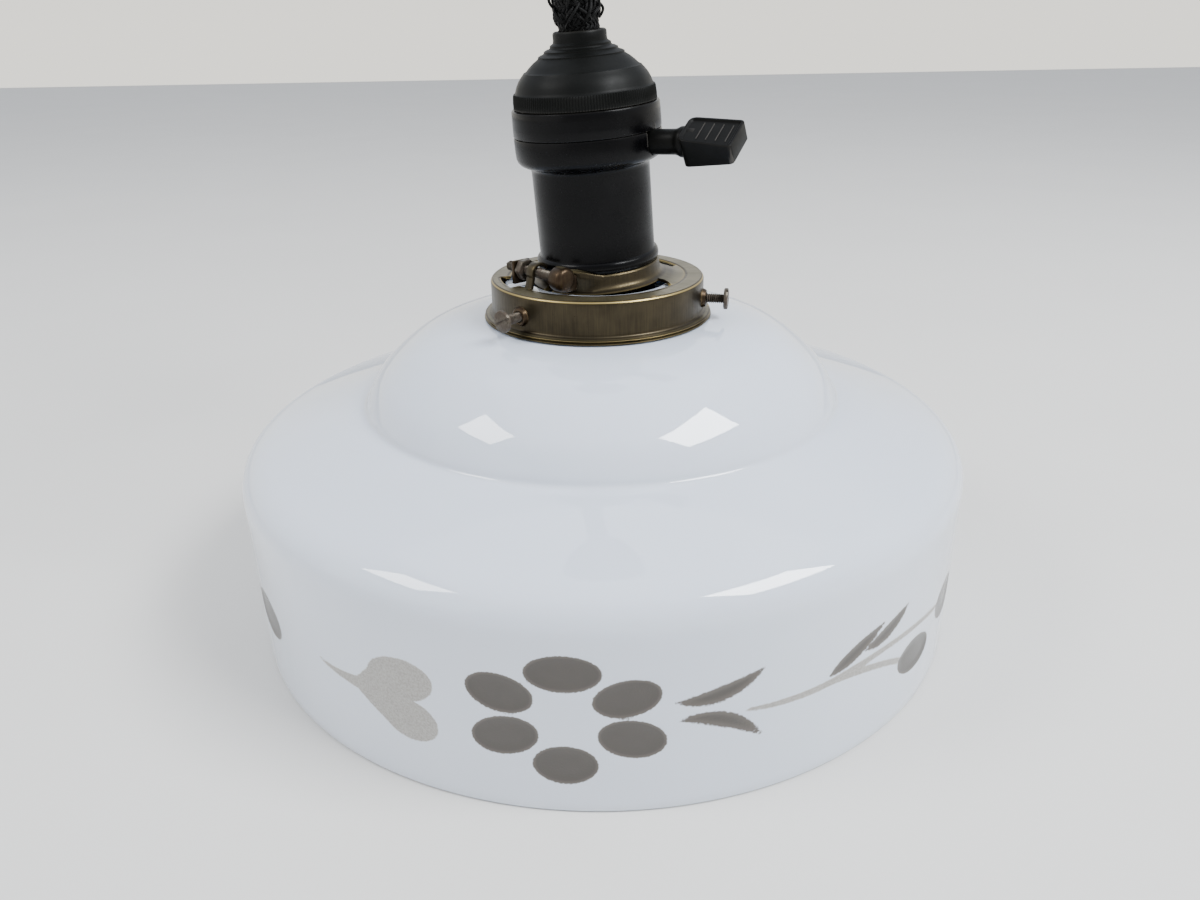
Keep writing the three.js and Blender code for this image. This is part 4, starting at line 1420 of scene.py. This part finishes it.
def finish_carried_nodes():
    """The pieces inside the socket and the rose keep their own shapes and get real finishes."""
    finishes = {
        "dark_steel": STEEL,
        "brass_parts": BRIGHT_BRASS,
        "bakelite": BAKELITE,
        "porcelain": PORCELAIN,
        "spring_steel": SPRING,
        "rubber_wire": RUBBER,
        "aged_brass": BRASS,
        "opal_glass": OPAL,
        "black_cotton": COTTON,
    }
    for part in frame["record"]["subparts"]:
        node = frame["nodes"][part["node"]]
        if node.hide_render:
            continue
        node.data.materials.clear()
        node.data.materials.append(finishes[part["material_slot"]])


# ---------------------------------------------------------------- floor and light


FLOOR_HALF = 3  # metres
FLOOR_CLEAR = 0.0002  # metres between the glass rim and the floor
LIGHT_AIM = (0, -0.05, -0.22)  # metres: just in front of the middle of the shade


def make_floor():
    level = -RIM_BELOW_CEILING * 0.001 - FLOOR_CLEAR
    bm = bmesh.new()
    bmesh.ops.create_grid(bm, x_segments=2, y_segments=2, size=FLOOR_HALF)
    bmesh.ops.translate(bm, vec=(0, 0, level), verts=bm.verts)
    mesh = bpy.data.meshes.new("floor")
    bm.to_mesh(mesh)
    bm.free()
    mesh.materials.append(floor_paper())
    floor = bpy.data.objects.new("floor", mesh)
    bpy.context.scene.collection.objects.link(floor)


def area_light(name, place, aim, size, power, colour=(1, 1, 1)):
    data = bpy.data.lights.new(name, "AREA")
    data.shape = "RECTANGLE"
    data.size, data.size_y = size
    data.energy = power
    data.color = colour
    lamp = bpy.data.objects.new(name, data)
    lamp.location = place
    lamp.rotation_euler = (Vector(aim) - Vector(place)).to_track_quat("-Z", "Y").to_euler()
    bpy.context.scene.collection.objects.link(lamp)


def light_at(name, azimuth, height, away, size, power, colour=(1, 1, 1)):
    """A lamp seen from the shade in a direction given by its azimuth and its height in degrees."""
    aim = Vector(LIGHT_AIM)
    turn_to, rise = math.radians(azimuth), math.radians(height)
    flat = math.cos(rise)
    towards = Vector((flat * math.cos(turn_to), flat * math.sin(turn_to), math.sin(rise)))
    area_light(name, tuple(aim + towards * away), aim, size, power, colour)


def make_lights():
    light_at("softbox", -24, 50, 1.2, (0.6, 0.38), 21, (0.97, 0.99, 1.0))
    light_at("soft_left", -166, 46, 1.4, (0.5, 0.36), 8, (1.0, 0.99, 0.96))
    light_at("left_wall", -152, 16, 1.5, (1.3, 0.9), 2, (1.0, 0.99, 0.97))
    light_at("overhead", 0, 88, 1.4, (1.8, 1.8), 6, (0.95, 0.97, 1.0))
    world = bpy.data.worlds.new("studio")
    world.use_nodes = True
    tree = world.node_tree
    facing = add(tree, "SeparateXYZ", {0: add(tree, "TexCoord").outputs["Generated"]})
    rise = ranged(tree, facing.outputs[2], 0.0, 0.5, 0, 1)
    sky = blend(tree, rise, linear("F4F1E8"), linear("C6CBD4"))
    # the room in front of the light is dimmer than the pale wall behind it
    sky = blend(tree, ranged(tree, facing.outputs[1], -0.9, 0.3, 0.5, 0), sky, linear("6F7074"))
    tree.links.new(sky, tree.nodes["Background"].inputs[0])
    tree.nodes["Background"].inputs[1].default_value = 1.65
    bpy.context.scene.world = world


# ---------------------------------------------------------------- assembly

cord, cord_path = make_cord()
rose_cap = make_rose()
make_shade()
make_holder()
make_screws()
make_cap()
make_body()
make_skirt()
make_key()
make_bulb_shell()
finish_carried_nodes()
make_floor()
make_lights()
